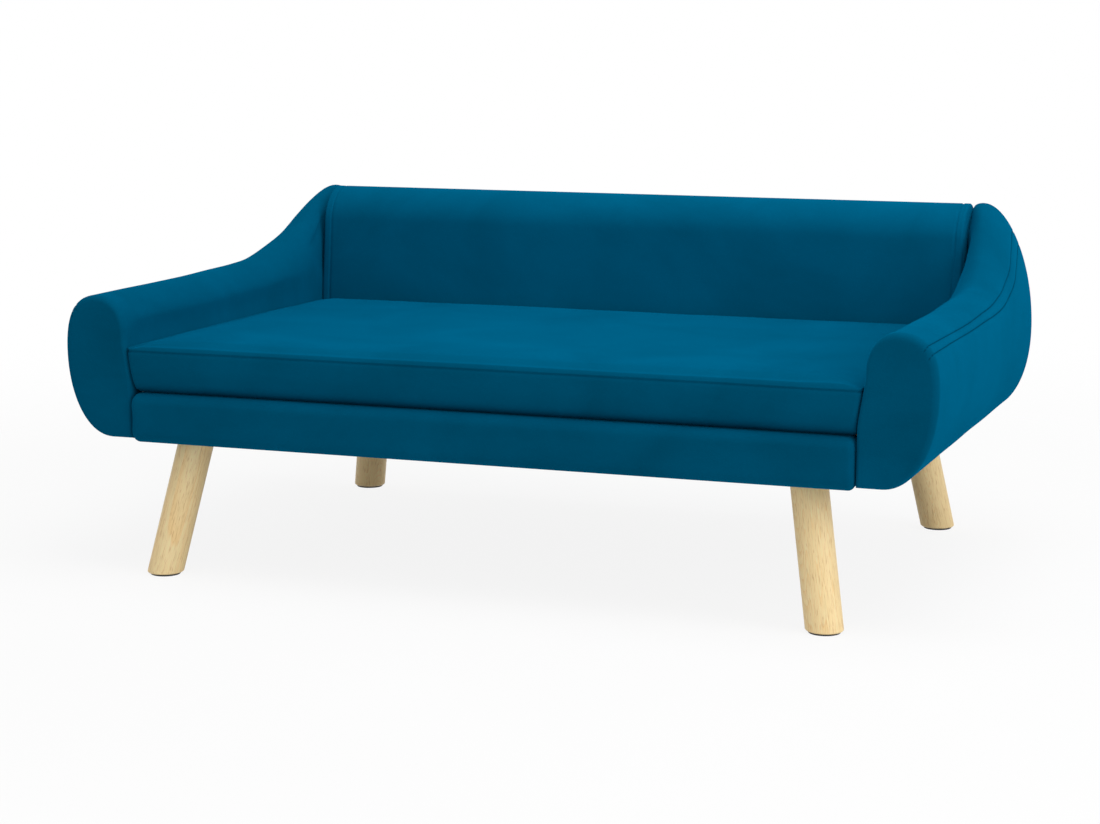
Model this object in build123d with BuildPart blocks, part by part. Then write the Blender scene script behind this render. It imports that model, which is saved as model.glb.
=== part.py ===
from build123d import *
from math import cos, radians, sin, sqrt, tan
import os

os.makedirs("parts", exist_ok=True)

# Frame: X runs along the sofa, +Y points to the back, +Z is up. The origin lies on the floor, in the
# middle of the length, and half-way between the front of the front feet and the rear of the arms.
# All sizes are millimetres and all angles degrees.

# Whole sofa
sofa_length = 1000.0
sofa_depth = 600.0
foot_overhang = 7.6
back_rise = 141.2
arm_rise = 55.4
cushion_thickness = 53.4
overrun = 20.0

# Upholstery layers
velvet = 1.5
touch_gap = 0.3

# Base frame of softwood rails with a plywood deck
base_bottom = 153.4
rail_lift = 4.5
rail_height = 43.0
front_rail_thickness = 24.0
rear_rail_thickness = 24.0
side_rail_thickness = 22.0
centre_rail_thickness = 22.0
centre_rail_recess = 5.0
deck_thickness = 6.5
deck_edge_gap = 1.0
deck_front_bearing = 12.0
deck_vent_width = 120.0
deck_vent_length = 22.0
deck_vent_end_margin = 56.0
deck_vent_front_margin = 72.5
deck_vent_corner = 10.0
deck_vent_columns = 4
deck_vent_rows = 3
block_leg = 112.0
block_height = 32.0
block_nose = 12.0
bolt_relief = 1.0
front_padding = 10.5
front_edge_radius = 9.5
front_end_gap = 1.0
rear_flange = 20.0
dust_cover_thickness = 0.8
dust_cover_margin = 1.0

# Legs: round oak, splayed outwards to the four corners
leg_diameter = 40.0
leg_inset = 31.0
leg_front_setback = 12.0
leg_rear_setback = 9.5
leg_splay_x = 28.0
leg_splay_y = 32.0
leg_foot_chamfer = 1.2
glide_diameter = 34.0
glide_thickness = 2.5
plate_edge = 7.0
plate_thickness = 2.5
plate_corner_radius = 7.0
plate_hole_spacing = 46.0
plate_hole_rows = 2
plate_clearance = 1.0
boss_diameter = 30.0
leg_seat_depth = 8.0
hanger_diameter = 8.0
hanger_in_leg = 36.0
hanger_past_plate = 9.0
thread_gap = 0.05

# Wood screws
screw_diameter = 4.0
screw_head_diameter = 8.0
screw_head_height = 2.2
plate_screw_length = 20.0
pan_head_height = 1.9
pan_top_share = 0.72
rail_screw_length = 60.0
rail_screw_spacing = 22.0

# Arms: a plywood panel and batten inside foam and a velvet cover
arm_width = 84.0
arm_flare_foot = 4.6
arm_flare_rise = 15.2
arm_flare = 5.0
arm_upper_flare = 0.5
arm_lift = 1.6
arm_belly_inset = 27.0
arm_belly_drop = 5.8
arm_rear_narrowing = 7.5
crest_front_inset = 42.0
crest_rear_inset = 14.0
crest_inner_round_front = 27.0
crest_inner_round_rear = 14.0
crest_inner_round_swell = 24.0
arm_front_radius = 8.0
arm_rear_radius = 30.0
arm_panel_offset = 12.0
arm_panel_thickness = 15.0
arm_panel_cover = 26.0
arm_panel_corner = 25.0
arm_rear_tuck = 4.0
arm_batten_height = 42.0
arm_batten_end_gap = 55.0
arm_bolt_block_gap = 28.0

# Backrest: slightly leaning front, upright rear, top rounded fully at the front
back_depth = 100.0
back_lean = 6.5
back_front_radius = 46.0
back_rear_radius = 22.0
back_toe_radius = 36.0
back_end_radius = 3.0
back_end_gap = 0.6
back_foam_thickness = 22.0
back_frame_drop = 34.0
back_board_thickness = 5.0
back_board_inset = 5.0
back_board_foot = 10.6
sill_height = 18.0
sill_depth = 40.0
top_rail_height = 18.0
rib_thickness = 15.0
rib_hole_wall = 13.0
rib_hole_rise_share = 0.23
back_bolt_inner_x = 110.0
back_bolt_end_gap = 116.0
back_bolt_recess = 9.0

# Machine bolts, washers and insert nuts
bolt_diameter = 8.0
bolt_head_across = 13.0
bolt_head_sides = 6
bolt_head_height = 5.3
bolt_clearance = 0.5
bolt_end_gap = 2.0
washer_diameter = 18.0
washer_thickness = 1.6
recess_gap = 1.0
insert_diameter = 12.0
insert_length = 13.0

# Loose seat cushion with a zipped cover
cushion_rear_gap = 9.0
cushion_lift_gap = 0.3
cushion_side_gap = 0.4
cushion_corner_radius = 9.0
cushion_top_radius = 3.5
cushion_foot_radius = 8.0
cushion_front_draw = 2.0
cushion_end_draw = 1.5
cushion_crown = 3.4
crown_first_inset = 70.0
crown_second_inset = 165.0
crown_first_share = 0.68
zip_lift = 22.6
zip_length = 600.0
zip_slot_height = 14.0
tape_thickness = 0.9
chain_width = 5.0
chain_thickness = 2.2
chain_chamfer = 0.5
slider_length = 11.0
slider_width = 9.0
slider_plate = 1.2
slider_gap = 0.15
slider_end_margin = 14.0
bail_length = 5.0
bail_width = 3.0
bail_height = 2.4
bail_bar = 0.8
pull_length = 22.0
pull_width = 6.0
pull_thickness = 0.9
pull_gap = 0.15
pull_bar = 1.3
pull_corner = 1.5

# Levels and places that follow from the sizes above
front_y = (foot_overhang - sofa_depth) / 2
rear_y = front_y + sofa_depth
back_seat_y = rear_y - back_depth
cushion_rear = back_seat_y - cushion_rear_gap
plate_side = plate_hole_spacing + 2 * plate_edge
half_length = sofa_length / 2
arm_inner = half_length - arm_width
arm_belly_start = arm_inner + arm_belly_inset
crest_front_x = arm_inner + crest_front_inset
crest_rear_x = arm_inner + crest_rear_inset
leg_spread_x = arm_inner - leg_inset
arm_bottom = base_bottom + arm_lift
rail_bottom = base_bottom + rail_lift
rail_top = rail_bottom + rail_height
deck_top = rail_top + deck_thickness
seat_top = deck_top + cushion_thickness
arm_height = seat_top + arm_rise
back_height = seat_top + back_rise
arm_flare_start = deck_top + arm_flare_foot
arm_flare_end = seat_top + arm_flare_rise
arm_belly_height = seat_top - arm_belly_drop
zip_height = deck_top + zip_lift
front_rail_front = front_y + velvet + front_padding
front_rail_back = front_rail_front + front_rail_thickness
front_centre_z = back_height - back_front_radius
rear_centre_z = back_height - back_rear_radius


def back_line(z, depth=0.0):
    """Y of the backrest's leaning front at height z, a depth further in."""
    lean = radians(back_lean)
    return back_seat_y + (z - seat_top) * tan(lean) + depth / cos(lean)


back_crown_y = back_line(front_centre_z, back_front_radius)
back_rear = back_crown_y + back_rear_radius
rear_rail_back = back_rear - velvet
rear_rail_front = rear_rail_back - rear_rail_thickness
side_rail_inner = arm_inner - side_rail_thickness


def lerp(a, b, share):
    return a + (b - a) * share


def save(builder, name):
    """Name a finished piece and write its file."""
    builder.part.label = name
    export_step(builder.part, "parts/" + name + ".step")


corner_signs = {
    "front_left": (-1, -1),
    "front_right": (1, -1),
    "rear_left": (-1, 1),
    "rear_right": (1, 1),
}
side_signs = {"left": -1, "right": 1}

# Legs, their plates, glides and bolts. Each leg leans along one straight axis, from the middle of its
# foot to its seat under the plate.
leg_foot_y = {-1: front_y + leg_front_setback, 1: back_rear - leg_rear_setback}
plate_bottom = rail_bottom - plate_thickness
leg_top_z = plate_bottom - leg_seat_depth


def leg_axis(sx, sy):
    """A plane at the foot whose Z runs up the leg's axis."""
    foot = Vector(sx * leg_spread_x, leg_foot_y[sy], 0)
    up = Vector(-sx * leg_splay_x, -sy * leg_splay_y, base_bottom)
    across = Vector(0, 1, 0).cross(up)
    return Plane(origin=foot, x_dir=across, z_dir=up)


def axis_point(sx, sy, z):
    """X and Y of the leg's axis at height z."""
    share = z / base_bottom
    return sx * (leg_spread_x - leg_splay_x * share), leg_foot_y[sy] - sy * leg_splay_y * share


leg_stretch = sqrt(leg_splay_x**2 + leg_splay_y**2 + base_bottom**2) / base_bottom
leg_length = leg_top_z * leg_stretch

for corner, (sx, sy) in corner_signs.items():
    axis = leg_axis(sx, sy)
    seat = axis.offset(leg_length)
    plate_x, plate_y = axis_point(sx, sy, plate_bottom)
    with BuildPart() as leg:
        with BuildSketch(axis.offset(-overrun)):
            Circle(leg_diameter / 2)
        extrude(amount=leg_length + overrun)
        split(bisect_by=Plane.XY.offset(glide_thickness), keep=Keep.TOP)
        foot_face = leg.faces().sort_by(Axis.Z)[0]
        chamfer(foot_face.edges(), leg_foot_chamfer)
        with Locations(seat):
            Hole(hanger_diameter / 2 + thread_gap, depth=hanger_in_leg)
    save(leg, "leg_" + corner)

    foot_x, foot_y = axis_point(sx, sy, glide_thickness)
    with BuildPart() as glide:
        with BuildSketch(Plane.XY):
            with Locations((foot_x, foot_y)):
                Circle(glide_diameter / 2)
        extrude(amount=glide_thickness)
        chamfer(glide.faces().sort_by(Axis.Z)[0].edges(), glide_thickness / 4)
    save(glide, "leg_glide_" + corner)

    # The plate lies flat under the frame, and its boss is cut square to the leg's axis.
    with BuildPart() as plate:
        with BuildSketch(seat):
            Circle(boss_diameter / 2)
        extrude(amount=overrun)
        split(bisect_by=Plane.XY.offset(plate_bottom), keep=Keep.BOTTOM)
        with BuildSketch(Plane.XY.offset(plate_bottom)):
            with Locations((plate_x, plate_y)):
                RectangleRounded(plate_side, plate_side, plate_corner_radius)
        extrude(amount=plate_thickness)
        with Locations(Plane.XY.offset(rail_bottom)):
            with Locations((plate_x, plate_y)):
                with GridLocations(
                    plate_hole_spacing, plate_hole_spacing, plate_hole_rows, plate_hole_rows
                ):
                    Hole(screw_diameter / 2 + thread_gap, depth=plate_thickness)
        with Locations(axis.offset(leg_length + leg_seat_depth + plate_side / 2)):
            Hole(hanger_diameter / 2 + thread_gap, depth=plate_side)
    save(plate, "leg_plate_" + corner)

# The arms' inner sides stand upright to the flare, open out over the flare and then lean evenly to the
# top. The backrest and the cushion follow the same line with their own gap.
third = 1 / 3


def inner_line(z, inset=0.0):
    """Point at height z on the leaning upper part of the right arm's inner side."""
    height_share = (z - arm_flare_end) / (back_height - arm_flare_end)
    return arm_inner + arm_flare + arm_upper_flare * height_share + inset, z


def flare_points(inset=0.0):
    """The four control points of the flare."""
    start = (arm_inner + inset, arm_flare_start)
    upright = (arm_inner + inset, lerp(arm_flare_start, arm_flare_end, third))
    leaning = inner_line(lerp(arm_flare_end, arm_flare_start, third), inset)
    return start, upright, leaning, inner_line(arm_flare_end, inset)


def inner_x(z):
    """X of the right arm's inner side at height z."""
    if z <= arm_flare_start:
        return arm_inner
    if z >= arm_flare_end:
        return inner_line(z)[0]
    start, upright, leaning, end = flare_points()
    share = (z - arm_flare_start) / (arm_flare_end - arm_flare_start)
    weight = (1 - share) * share**2 * 3
    return arm_inner + (leaning[0] - arm_inner) * weight + arm_flare * share**3


# Arms. Each is lofted through upright cross-sections from front to back. A station gives its share of
# the straight body's depth, of the rise from arm height to back height, and of the change from the
# broad front crest to the narrow rear one. The crest's inner rounding swells half-way through that
# change.
arm_station_shares = [
    (0.0, 0.0, 0.0),
    (0.17, 0.0, 0.0),
    (0.36, 0.0, 0.0),
    (0.49, 0.02, 0.0),
    (0.6, 0.036, 0.0),
    (0.69, 0.08, 0.0),
    (0.785, 0.25, 0.18),
    (0.855, 0.44, 0.38),
    (0.92, 0.74, 0.68),
    (0.965, 0.92, 0.88),
    (1.0, 1.0, 1.0),
]
round_share = 0.5523
crest_front_share = 0.68
crest_rear_share = 0.5
belly_foot_share = 0.57
end_angles = (0.0, 30.0, 60.0, 90.0)

# How far the rounding of each end draws in the inner side, the outer side, the crest and the bottom
front_end_shares = (0.6, 1.0, 1.0, 0.6)
rear_end_shares = (0.1, 1.5, 1.0, 1.0)


def handle(start, corner, end, share):
    """The four control points of a curve that leaves and arrives along the sides of a corner."""
    first = (lerp(start[0], corner[0], share), lerp(start[1], corner[1], share))
    second = (lerp(end[0], corner[0], share), lerp(end[1], corner[1], share))
    return start, first, second, end


def arm_section(y, station, inset, drawn=(0.0, 0.0, 0.0, 0.0)):
    """Upright cross-section of the right arm at y, with its four sides drawn in."""
    depth_share, rise_share, taper_share = station
    inner, outer, top, bottom = (inset + side for side in drawn)
    crest_z = lerp(arm_height, back_height, rise_share) - top
    crest_x = lerp(crest_front_x, crest_rear_x, taper_share)
    belly_x = half_length - arm_rear_narrowing * depth_share - outer
    swell = crest_inner_round_swell * (1 - (1 - 2 * taper_share) ** 2)
    fall = lerp(crest_inner_round_front, crest_inner_round_rear, taper_share) + swell - inner
    shape_share = lerp(crest_front_share, crest_rear_share, taper_share)
    foot_z = arm_bottom + bottom
    foot = (arm_inner + inner, foot_z)
    flare = flare_points(inner)
    upper = inner_line(crest_z - fall, inner)
    upper_corner = inner_line(crest_z, inner)
    crest = (crest_x, crest_z)
    belly = (belly_x, arm_belly_height)
    belly_start = (arm_belly_start, foot_z)
    with BuildSketch(Plane.XZ.offset(-y)) as section:
        with BuildLine():
            Line(foot, flare[0])
            Bezier(*flare)
            Line(flare[-1], upper)
            Bezier(*handle(upper, upper_corner, crest, round_share))
            Bezier(*handle(crest, (belly_x, crest_z), belly, shape_share))
            Bezier(*handle(belly, (belly_x, foot_z), belly_start, belly_foot_share))
            Line(belly_start, foot)
        make_face()
    return section.sketch.face()


def arm_end(y, turn, radius, station, inset, shares):
    """Sections of a rounded end that starts at y and closes in the direction of turn."""
    sections = []
    for angle in end_angles:
        closed = (radius - inset) * (1 - sin(radians(angle)))
        reach = (radius - inset) * cos(radians(angle))
        drawn = [closed * share for share in shares]
        sections.append(arm_section(y + turn * reach, station, inset, drawn))
    return sections


def arm_form(inset):
    """The right arm's outer form, drawn in by inset."""
    body_front = front_y + arm_front_radius
    body_rear = rear_y - arm_rear_radius
    first, last = arm_station_shares[0], arm_station_shares[-1]
    with BuildPart() as form:
        loft(
            sections=[
                arm_section(lerp(body_front, body_rear, station[0]), station, inset)
                for station in arm_station_shares
            ]
        )
        loft(sections=arm_end(body_front, -1, arm_front_radius, first, inset, front_end_shares))
        loft(sections=arm_end(body_rear, 1, arm_rear_radius, last, inset, rear_end_shares))
    return form.part

# Fasteners. A screw's head lies at the origin and its shank runs along +Z; the gap widens it for its
# hole.


def screw_form(length, gap=0.0):
    """Countersunk wood screw."""
    head = screw_head_diameter / 2 + gap
    shank = screw_diameter / 2 + gap
    with BuildPart() as form:
        with BuildSketch(Plane.XZ):
            with BuildLine():
                Polyline(
                    (0, 0),
                    (head, 0),
                    (shank, screw_head_height),
                    (shank, length + gap),
                    (0, length + gap),
                    close=True,
                )
            make_face()
        revolve(axis=Axis.Z)
    return form.part


def pan_screw_form(length, gap=0.0):
    """Pan-head wood screw whose head lies below the origin."""
    head = screw_head_diameter / 2
    shank = screw_diameter / 2 + gap
    with BuildPart() as form:
        with BuildSketch(Plane.XZ):
            with BuildLine():
                Polyline(
                    (0, -pan_head_height),
                    (head * pan_top_share, -pan_head_height),
                    (head, -pan_head_height / 2),
                    (head, 0),
                    (shank, 0),
                    (shank, length + gap),
                    (0, length + gap),
                    close=True,
                )
            make_face()
        revolve(axis=Axis.Z)
    return form.part


def bolt_form(length):
    """Hexagon bolt with its shank along +Z from the underside of the head."""
    with BuildPart() as form:
        with BuildSketch(Plane.XY):
            RegularPolygon(bolt_head_across / 2, bolt_head_sides, major_radius=False)
        extrude(amount=-bolt_head_height)
        with BuildSketch(Plane.XY):
            Circle(bolt_diameter / 2)
        extrude(amount=length)
    return form.part


def ring_form(outer_diameter, inner_diameter, length):
    """Washer or insert nut along +Z from the origin."""
    with BuildPart() as form:
        with BuildSketch(Plane.XY):
            Circle(outer_diameter / 2)
            Circle(inner_diameter / 2, mode=Mode.SUBTRACT)
        extrude(amount=length)
    return form.part


def placed(form, planes):
    """One group of separate pieces, one on each plane."""
    with BuildPart() as group:
        with Locations(*planes):
            add(form)
    return group


def box(x_range, y_range, z_range):
    """A straight block between three pairs of limits."""
    (x_min, x_max), (y_min, y_max), (z_min, z_max) = x_range, y_range, z_range
    with BuildPart() as block:
        with BuildSketch(Plane.XY.offset(z_min)):
            with Locations(((x_min + x_max) / 2, (y_min + y_max) / 2)):
                Rectangle(x_max - x_min, y_max - y_min)
        extrude(amount=z_max - z_min)
    return block.part


plate_planes = []
hanger_planes = []
hanger_length = hanger_in_leg + leg_seat_depth + plate_thickness + hanger_past_plate
for sx, sy in corner_signs.values():
    plate_x, plate_y = axis_point(sx, sy, plate_bottom)
    hanger_planes.append(leg_axis(sx, sy).offset(leg_length - hanger_in_leg))
    for step_x in (-plate_hole_spacing / 2, plate_hole_spacing / 2):
        for step_y in (-plate_hole_spacing / 2, plate_hole_spacing / 2):
            plate_planes.append(Plane(origin=(plate_x + step_x, plate_y + step_y, plate_bottom)))
with BuildPart() as hanger_bolts:
    for plane in hanger_planes:
        with BuildSketch(plane):
            Circle(hanger_diameter / 2)
        extrude(amount=hanger_length)
save(hanger_bolts, "leg_hanger_bolts")
save(placed(pan_screw_form(plate_screw_length), plate_planes), "leg_plate_screws")
plate_screw_holes = placed(pan_screw_form(plate_screw_length, thread_gap), plate_planes).part

rail_middle_z = rail_bottom + rail_height / 2
side_rail_x = arm_inner - side_rail_thickness / 2
rail_screw_planes = []
for x in (-side_rail_x, 0, side_rail_x):
    for z in (rail_middle_z - rail_screw_spacing / 2, rail_middle_z + rail_screw_spacing / 2):
        rail_screw_planes.append(Plane(origin=(x, front_rail_front, z), z_dir=(0, 1, 0)))
        rail_screw_planes.append(Plane(origin=(x, rear_rail_back, z), z_dir=(0, -1, 0)))
save(placed(screw_form(rail_screw_length), rail_screw_planes), "rail_screws")
rail_screw_holes = placed(screw_form(rail_screw_length, thread_gap), rail_screw_planes).part

# Rails. The side rails carry the arm bolts and the rear rail the backrest bolts.
front_half = arm_inner - front_end_gap
front_bolt_y = front_rail_back + block_leg + arm_bolt_block_gap
rear_bolt_y = rear_rail_front - block_leg - arm_bolt_block_gap
arm_bolt_ys = (front_bolt_y, (front_bolt_y + rear_bolt_y) / 2, rear_bolt_y)
arm_bolt_planes = []
for sx in side_signs.values():
    for y in arm_bolt_ys:
        arm_bolt_planes.append(Plane(origin=(sx * side_rail_inner, y, rail_middle_z), z_dir=(sx, 0, 0)))
back_bolt_outer_x = arm_inner - back_bolt_end_gap
back_bolt_xs = (-back_bolt_outer_x, -back_bolt_inner_x, back_bolt_inner_x, back_bolt_outer_x)
back_bolt_y = rear_rail_back - rear_rail_thickness / 2
back_bolt_planes = [Plane(origin=(x, back_bolt_y, rail_bottom + back_bolt_recess)) for x in back_bolt_xs]
bolt_hole_radius = bolt_diameter / 2 + bolt_clearance
recess_radius = washer_diameter / 2 + recess_gap

front_rail_x_range = (velvet - front_half, front_half - velvet)
front_rail_y_range = (front_rail_front, front_rail_back)
rear_rail_x_range = (touch_gap - arm_inner, arm_inner - touch_gap)
with BuildPart() as front_rail:
    add(box(front_rail_x_range, front_rail_y_range, (rail_bottom, rail_top)))
    add(rail_screw_holes, mode=Mode.SUBTRACT)
    add(plate_screw_holes, mode=Mode.SUBTRACT)
save(front_rail, "front_rail")

with BuildPart() as rear_rail:
    add(box(rear_rail_x_range, (rear_rail_front, rear_rail_back), (rail_bottom, rail_top)))
    add(rail_screw_holes, mode=Mode.SUBTRACT)
    add(plate_screw_holes, mode=Mode.SUBTRACT)
    with BuildSketch(Plane.XY.offset(rail_bottom)):
        with Locations(*[(x, back_bolt_y) for x in back_bolt_xs]):
            Circle(recess_radius)
    extrude(amount=back_bolt_recess, mode=Mode.SUBTRACT)
    with BuildSketch(Plane.XY.offset(rail_bottom)):
        with Locations(*[(x, back_bolt_y) for x in back_bolt_xs]):
            Circle(bolt_hole_radius)
    extrude(amount=rail_height, mode=Mode.SUBTRACT)
save(rear_rail, "rear_rail")

for side, sx in side_signs.items():
    x_range = sorted((sx * side_rail_inner, sx * arm_inner))
    with BuildPart() as side_rail:
        add(box(x_range, (front_rail_back, rear_rail_front), (rail_bottom, rail_top)))
        add(rail_screw_holes, mode=Mode.SUBTRACT)
        with BuildSketch(Plane.YZ):
            with Locations(*[(y, rail_middle_z) for y in arm_bolt_ys]):
                Circle(bolt_hole_radius)
        extrude(amount=sx * (arm_inner + overrun), mode=Mode.SUBTRACT)
    save(side_rail, "side_rail_" + side)

centre_half = centre_rail_thickness / 2
centre_range = (rail_bottom + centre_rail_recess, rail_top)
with BuildPart() as centre_rail:
    add(box((-centre_half, centre_half), (front_rail_back, rear_rail_front), centre_range))
    add(rail_screw_holes, mode=Mode.SUBTRACT)
save(centre_rail, "centre_rail")

block_corner_y = {-1: front_rail_back, 1: rear_rail_front}
for corner, (sx, sy) in corner_signs.items():
    x0, y0 = sx * side_rail_inner, block_corner_y[sy]
    with BuildPart() as corner_block:
        with BuildSketch(Plane.XY.offset(rail_bottom)):
            with BuildLine():
                Polyline(
                    (x0, y0),
                    (x0 - sx * block_leg, y0),
                    (x0 - sx * block_leg, y0 - sy * block_nose),
                    (x0 - sx * block_nose, y0 - sy * block_leg),
                    (x0, y0 - sy * block_leg),
                    close=True,
                )
            make_face()
        extrude(amount=block_height)
        add(plate_screw_holes, mode=Mode.SUBTRACT)
        with BuildSketch(leg_axis(sx, sy).offset(leg_length)):
            Circle(hanger_diameter / 2 + bolt_relief)
        extrude(amount=hanger_length - hanger_in_leg + bolt_relief, mode=Mode.SUBTRACT)
    save(corner_block, "corner_block_" + corner)

# Seat deck, with vent slots clear of the centre rail
deck_front = front_rail_back - deck_front_bearing
deck_half = arm_inner - deck_edge_gap
vent_span_x = 2 * (arm_inner - deck_vent_end_margin) - deck_vent_width
vent_span_y = cushion_rear - deck_front - 2 * deck_vent_front_margin - deck_vent_length
vent_pitch_x = vent_span_x / (deck_vent_columns - 1)
vent_pitch_y = vent_span_y / (deck_vent_rows - 1)
with BuildPart() as seat_deck:
    add(box((-deck_half, deck_half), (deck_front, rear_rail_back), (rail_top, deck_top)))
    with BuildSketch(Plane.XY.offset(rail_top)):
        with Locations((0, (deck_front + cushion_rear) / 2)):
            with GridLocations(vent_pitch_x, vent_pitch_y, deck_vent_columns, deck_vent_rows):
                RectangleRounded(deck_vent_width, deck_vent_length, deck_vent_corner)
        with Locations(*[(x, back_bolt_y) for x in back_bolt_xs]):
            Circle(bolt_hole_radius)
    extrude(amount=deck_thickness, mode=Mode.SUBTRACT)
save(seat_deck, "seat_deck")

# Upholstery of the front rail: a velvet skin with a rounded front over foam
lip_y = deck_front - deck_edge_gap
plate_notch_side = plate_side + 2 * plate_clearance


def plate_notches(z, height):
    """Blocks at the four leg plates, wider by the plate clearance."""
    with BuildPart() as notches:
        with BuildSketch(Plane.XY.offset(z)):
            with Locations(*[axis_point(sx, sy, plate_bottom) for sx, sy in corner_signs.values()]):
                Rectangle(plate_notch_side, plate_notch_side)
        extrude(amount=height)
    return notches.part


def front_form(inset):
    """Outer form of the front rail's upholstery, drawn in by inset."""
    half = front_half - inset
    with BuildPart() as form:
        add(box((-half, half), (front_y + inset, lip_y - inset), (base_bottom + inset, deck_top - inset)))
        front_face = form.faces().sort_by(Axis.Y)[0]
        long_edges = front_face.edges().filter_by(Axis.X)
        fillet(long_edges, front_edge_radius - inset)
    return form.part


rail_space = box(front_rail_x_range, front_rail_y_range, (rail_bottom, rail_top))
flange_space = box(front_rail_x_range, front_rail_y_range, (base_bottom + velvet, rail_top))
with BuildPart() as front_cover:
    add(front_form(0))
    add(box((-front_half, front_half), (lip_y, front_rail_back), (base_bottom, base_bottom + velvet)))
    add(front_form(velvet), mode=Mode.SUBTRACT)
    add(flange_space, mode=Mode.SUBTRACT)
    add(plate_notches(base_bottom - overrun, rail_bottom - base_bottom + overrun), mode=Mode.SUBTRACT)
save(front_cover, "front_rail_cover")

with BuildPart() as front_foam:
    add(front_form(velvet))
    add(flange_space)
    add(rail_space, mode=Mode.SUBTRACT)
    add(plate_notches(base_bottom, rail_bottom - base_bottom), mode=Mode.SUBTRACT)
save(front_foam, "front_rail_foam")

# Rear rail's velvet, turned under the rail, and the dust cover stapled below the frame
with BuildPart() as rear_cover:
    flange_bottom = rail_bottom - velvet
    add(box((-deck_half, deck_half), (rear_rail_back, back_rear), (flange_bottom, deck_top)))
    add(box((-deck_half, deck_half), (rear_rail_back - rear_flange, back_rear), (flange_bottom, rail_bottom)))
    add(plate_notches(base_bottom, rail_bottom - base_bottom), mode=Mode.SUBTRACT)
    with BuildSketch(Plane.XY.offset(rail_bottom)):
        with Locations(*[(x, back_bolt_y) for x in back_bolt_xs]):
            Circle(recess_radius + recess_gap)
    extrude(amount=-velvet, mode=Mode.SUBTRACT)
save(rear_cover, "rear_rail_cover")

dust_half = arm_inner - dust_cover_margin
dust_y_range = (front_rail_back + dust_cover_margin, rear_rail_back - rear_flange - dust_cover_margin)
with BuildPart() as dust_cover:
    add(box((-dust_half, dust_half), dust_y_range, (rail_bottom - dust_cover_thickness, rail_bottom)))
    add(plate_notches(base_bottom, rail_bottom - base_bottom), mode=Mode.SUBTRACT)
save(dust_cover, "dust_cover")


def save_pair(part, name):
    """Save a right-hand piece and its mirror image."""
    with BuildPart() as right:
        add(part)
    save(right, name + "_right")
    with BuildPart() as left:
        mirror(part, about=Plane.YZ)
    save(left, name + "_left")


# Parts of the arms. A bolt passes through side rail, velvet and batten into an insert nut in the panel.
arm_skin = arm_form(0)
arm_core = arm_form(velvet)
panel_inner = arm_inner + arm_panel_offset
panel_bottom = arm_bottom + velvet
panel_front = front_y + arm_panel_cover
panel_rear = rear_y - arm_panel_cover - arm_rear_tuck

with BuildPart() as arm_cover:
    add(arm_skin)
    add(arm_core, mode=Mode.SUBTRACT)
    with BuildSketch(Plane.YZ.offset(arm_inner)):
        with Locations(*[(y, rail_middle_z) for y in arm_bolt_ys]):
            Circle(bolt_hole_radius)
    extrude(amount=velvet, mode=Mode.SUBTRACT)
save_pair(arm_cover.part, "arm_cover")

with BuildPart() as arm_panel:
    with BuildSketch(Plane.YZ.offset(panel_inner)):
        with BuildLine():
            body_front = front_y + arm_front_radius
            body_rear = rear_y - arm_rear_radius
            crest_points = [(panel_front, arm_height - arm_panel_cover)]
            for depth_share, rise_share, taper_share in arm_station_shares[2:-1]:
                crest = lerp(arm_height, back_height, rise_share)
                crest_points.append((lerp(body_front, body_rear, depth_share), crest - arm_panel_cover))
            crest_points.append((panel_rear, back_height - arm_panel_cover))
            Spline(*crest_points, tangents=((1, 0), (1, 0)))
            Polyline(
                crest_points[-1],
                (panel_rear, panel_bottom),
                (panel_front, panel_bottom),
                crest_points[0],
            )
        make_face()
    extrude(amount=arm_panel_thickness)
    upright_edges = arm_panel.faces().sort_by(Axis.Y)[0].edges().filter_by(Axis.X)
    fillet(upright_edges.sort_by(Axis.Z)[-1], arm_panel_corner)
    with BuildSketch(Plane.YZ.offset(panel_inner)):
        with Locations(*[(y, rail_middle_z) for y in arm_bolt_ys]):
            Circle(insert_diameter / 2)
    extrude(amount=insert_length, mode=Mode.SUBTRACT)
save_pair(arm_panel.part, "arm_panel")

batten_range = (front_y + arm_batten_end_gap, rear_y - arm_batten_end_gap)
batten_x_range = (arm_inner + velvet, panel_inner)
batten_space = box(batten_x_range, batten_range, (panel_bottom, panel_bottom + arm_batten_height))
with BuildPart() as arm_batten:
    add(batten_space)
    with BuildSketch(Plane.YZ.offset(arm_inner)):
        with Locations(*[(y, rail_middle_z) for y in arm_bolt_ys]):
            Circle(bolt_hole_radius)
    extrude(amount=arm_panel_offset, mode=Mode.SUBTRACT)
save_pair(arm_batten.part, "arm_batten")

with BuildPart() as arm_foam:
    add(arm_core)
    add(batten_space, mode=Mode.SUBTRACT)
    add(arm_panel.part, mode=Mode.SUBTRACT)
    with BuildSketch(Plane.YZ.offset(panel_inner)):
        with Locations(*[(y, rail_middle_z) for y in arm_bolt_ys]):
            Circle(insert_diameter / 2)
    extrude(amount=insert_length, mode=Mode.SUBTRACT)
save_pair(arm_foam.part, "arm_foam")

# Fasteners of arms and backrest. A bolt starts on its washer, inside the side rail or in the recess.
arm_bolt_length = washer_thickness + panel_inner + insert_length - side_rail_inner - bolt_end_gap
washer = ring_form(washer_diameter, bolt_diameter + bolt_clearance, washer_thickness)
insert_nut = ring_form(insert_diameter, bolt_diameter + 2 * thread_gap, insert_length)
arm_washer_planes = [plane.offset(-washer_thickness) for plane in arm_bolt_planes]
save(placed(bolt_form(arm_bolt_length), arm_washer_planes), "arm_bolts")
save(placed(washer, arm_washer_planes), "arm_washers")
arm_nut_offset = panel_inner - side_rail_inner
save(placed(insert_nut, [plane.offset(arm_nut_offset) for plane in arm_bolt_planes]), "arm_insert_nuts")

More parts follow.
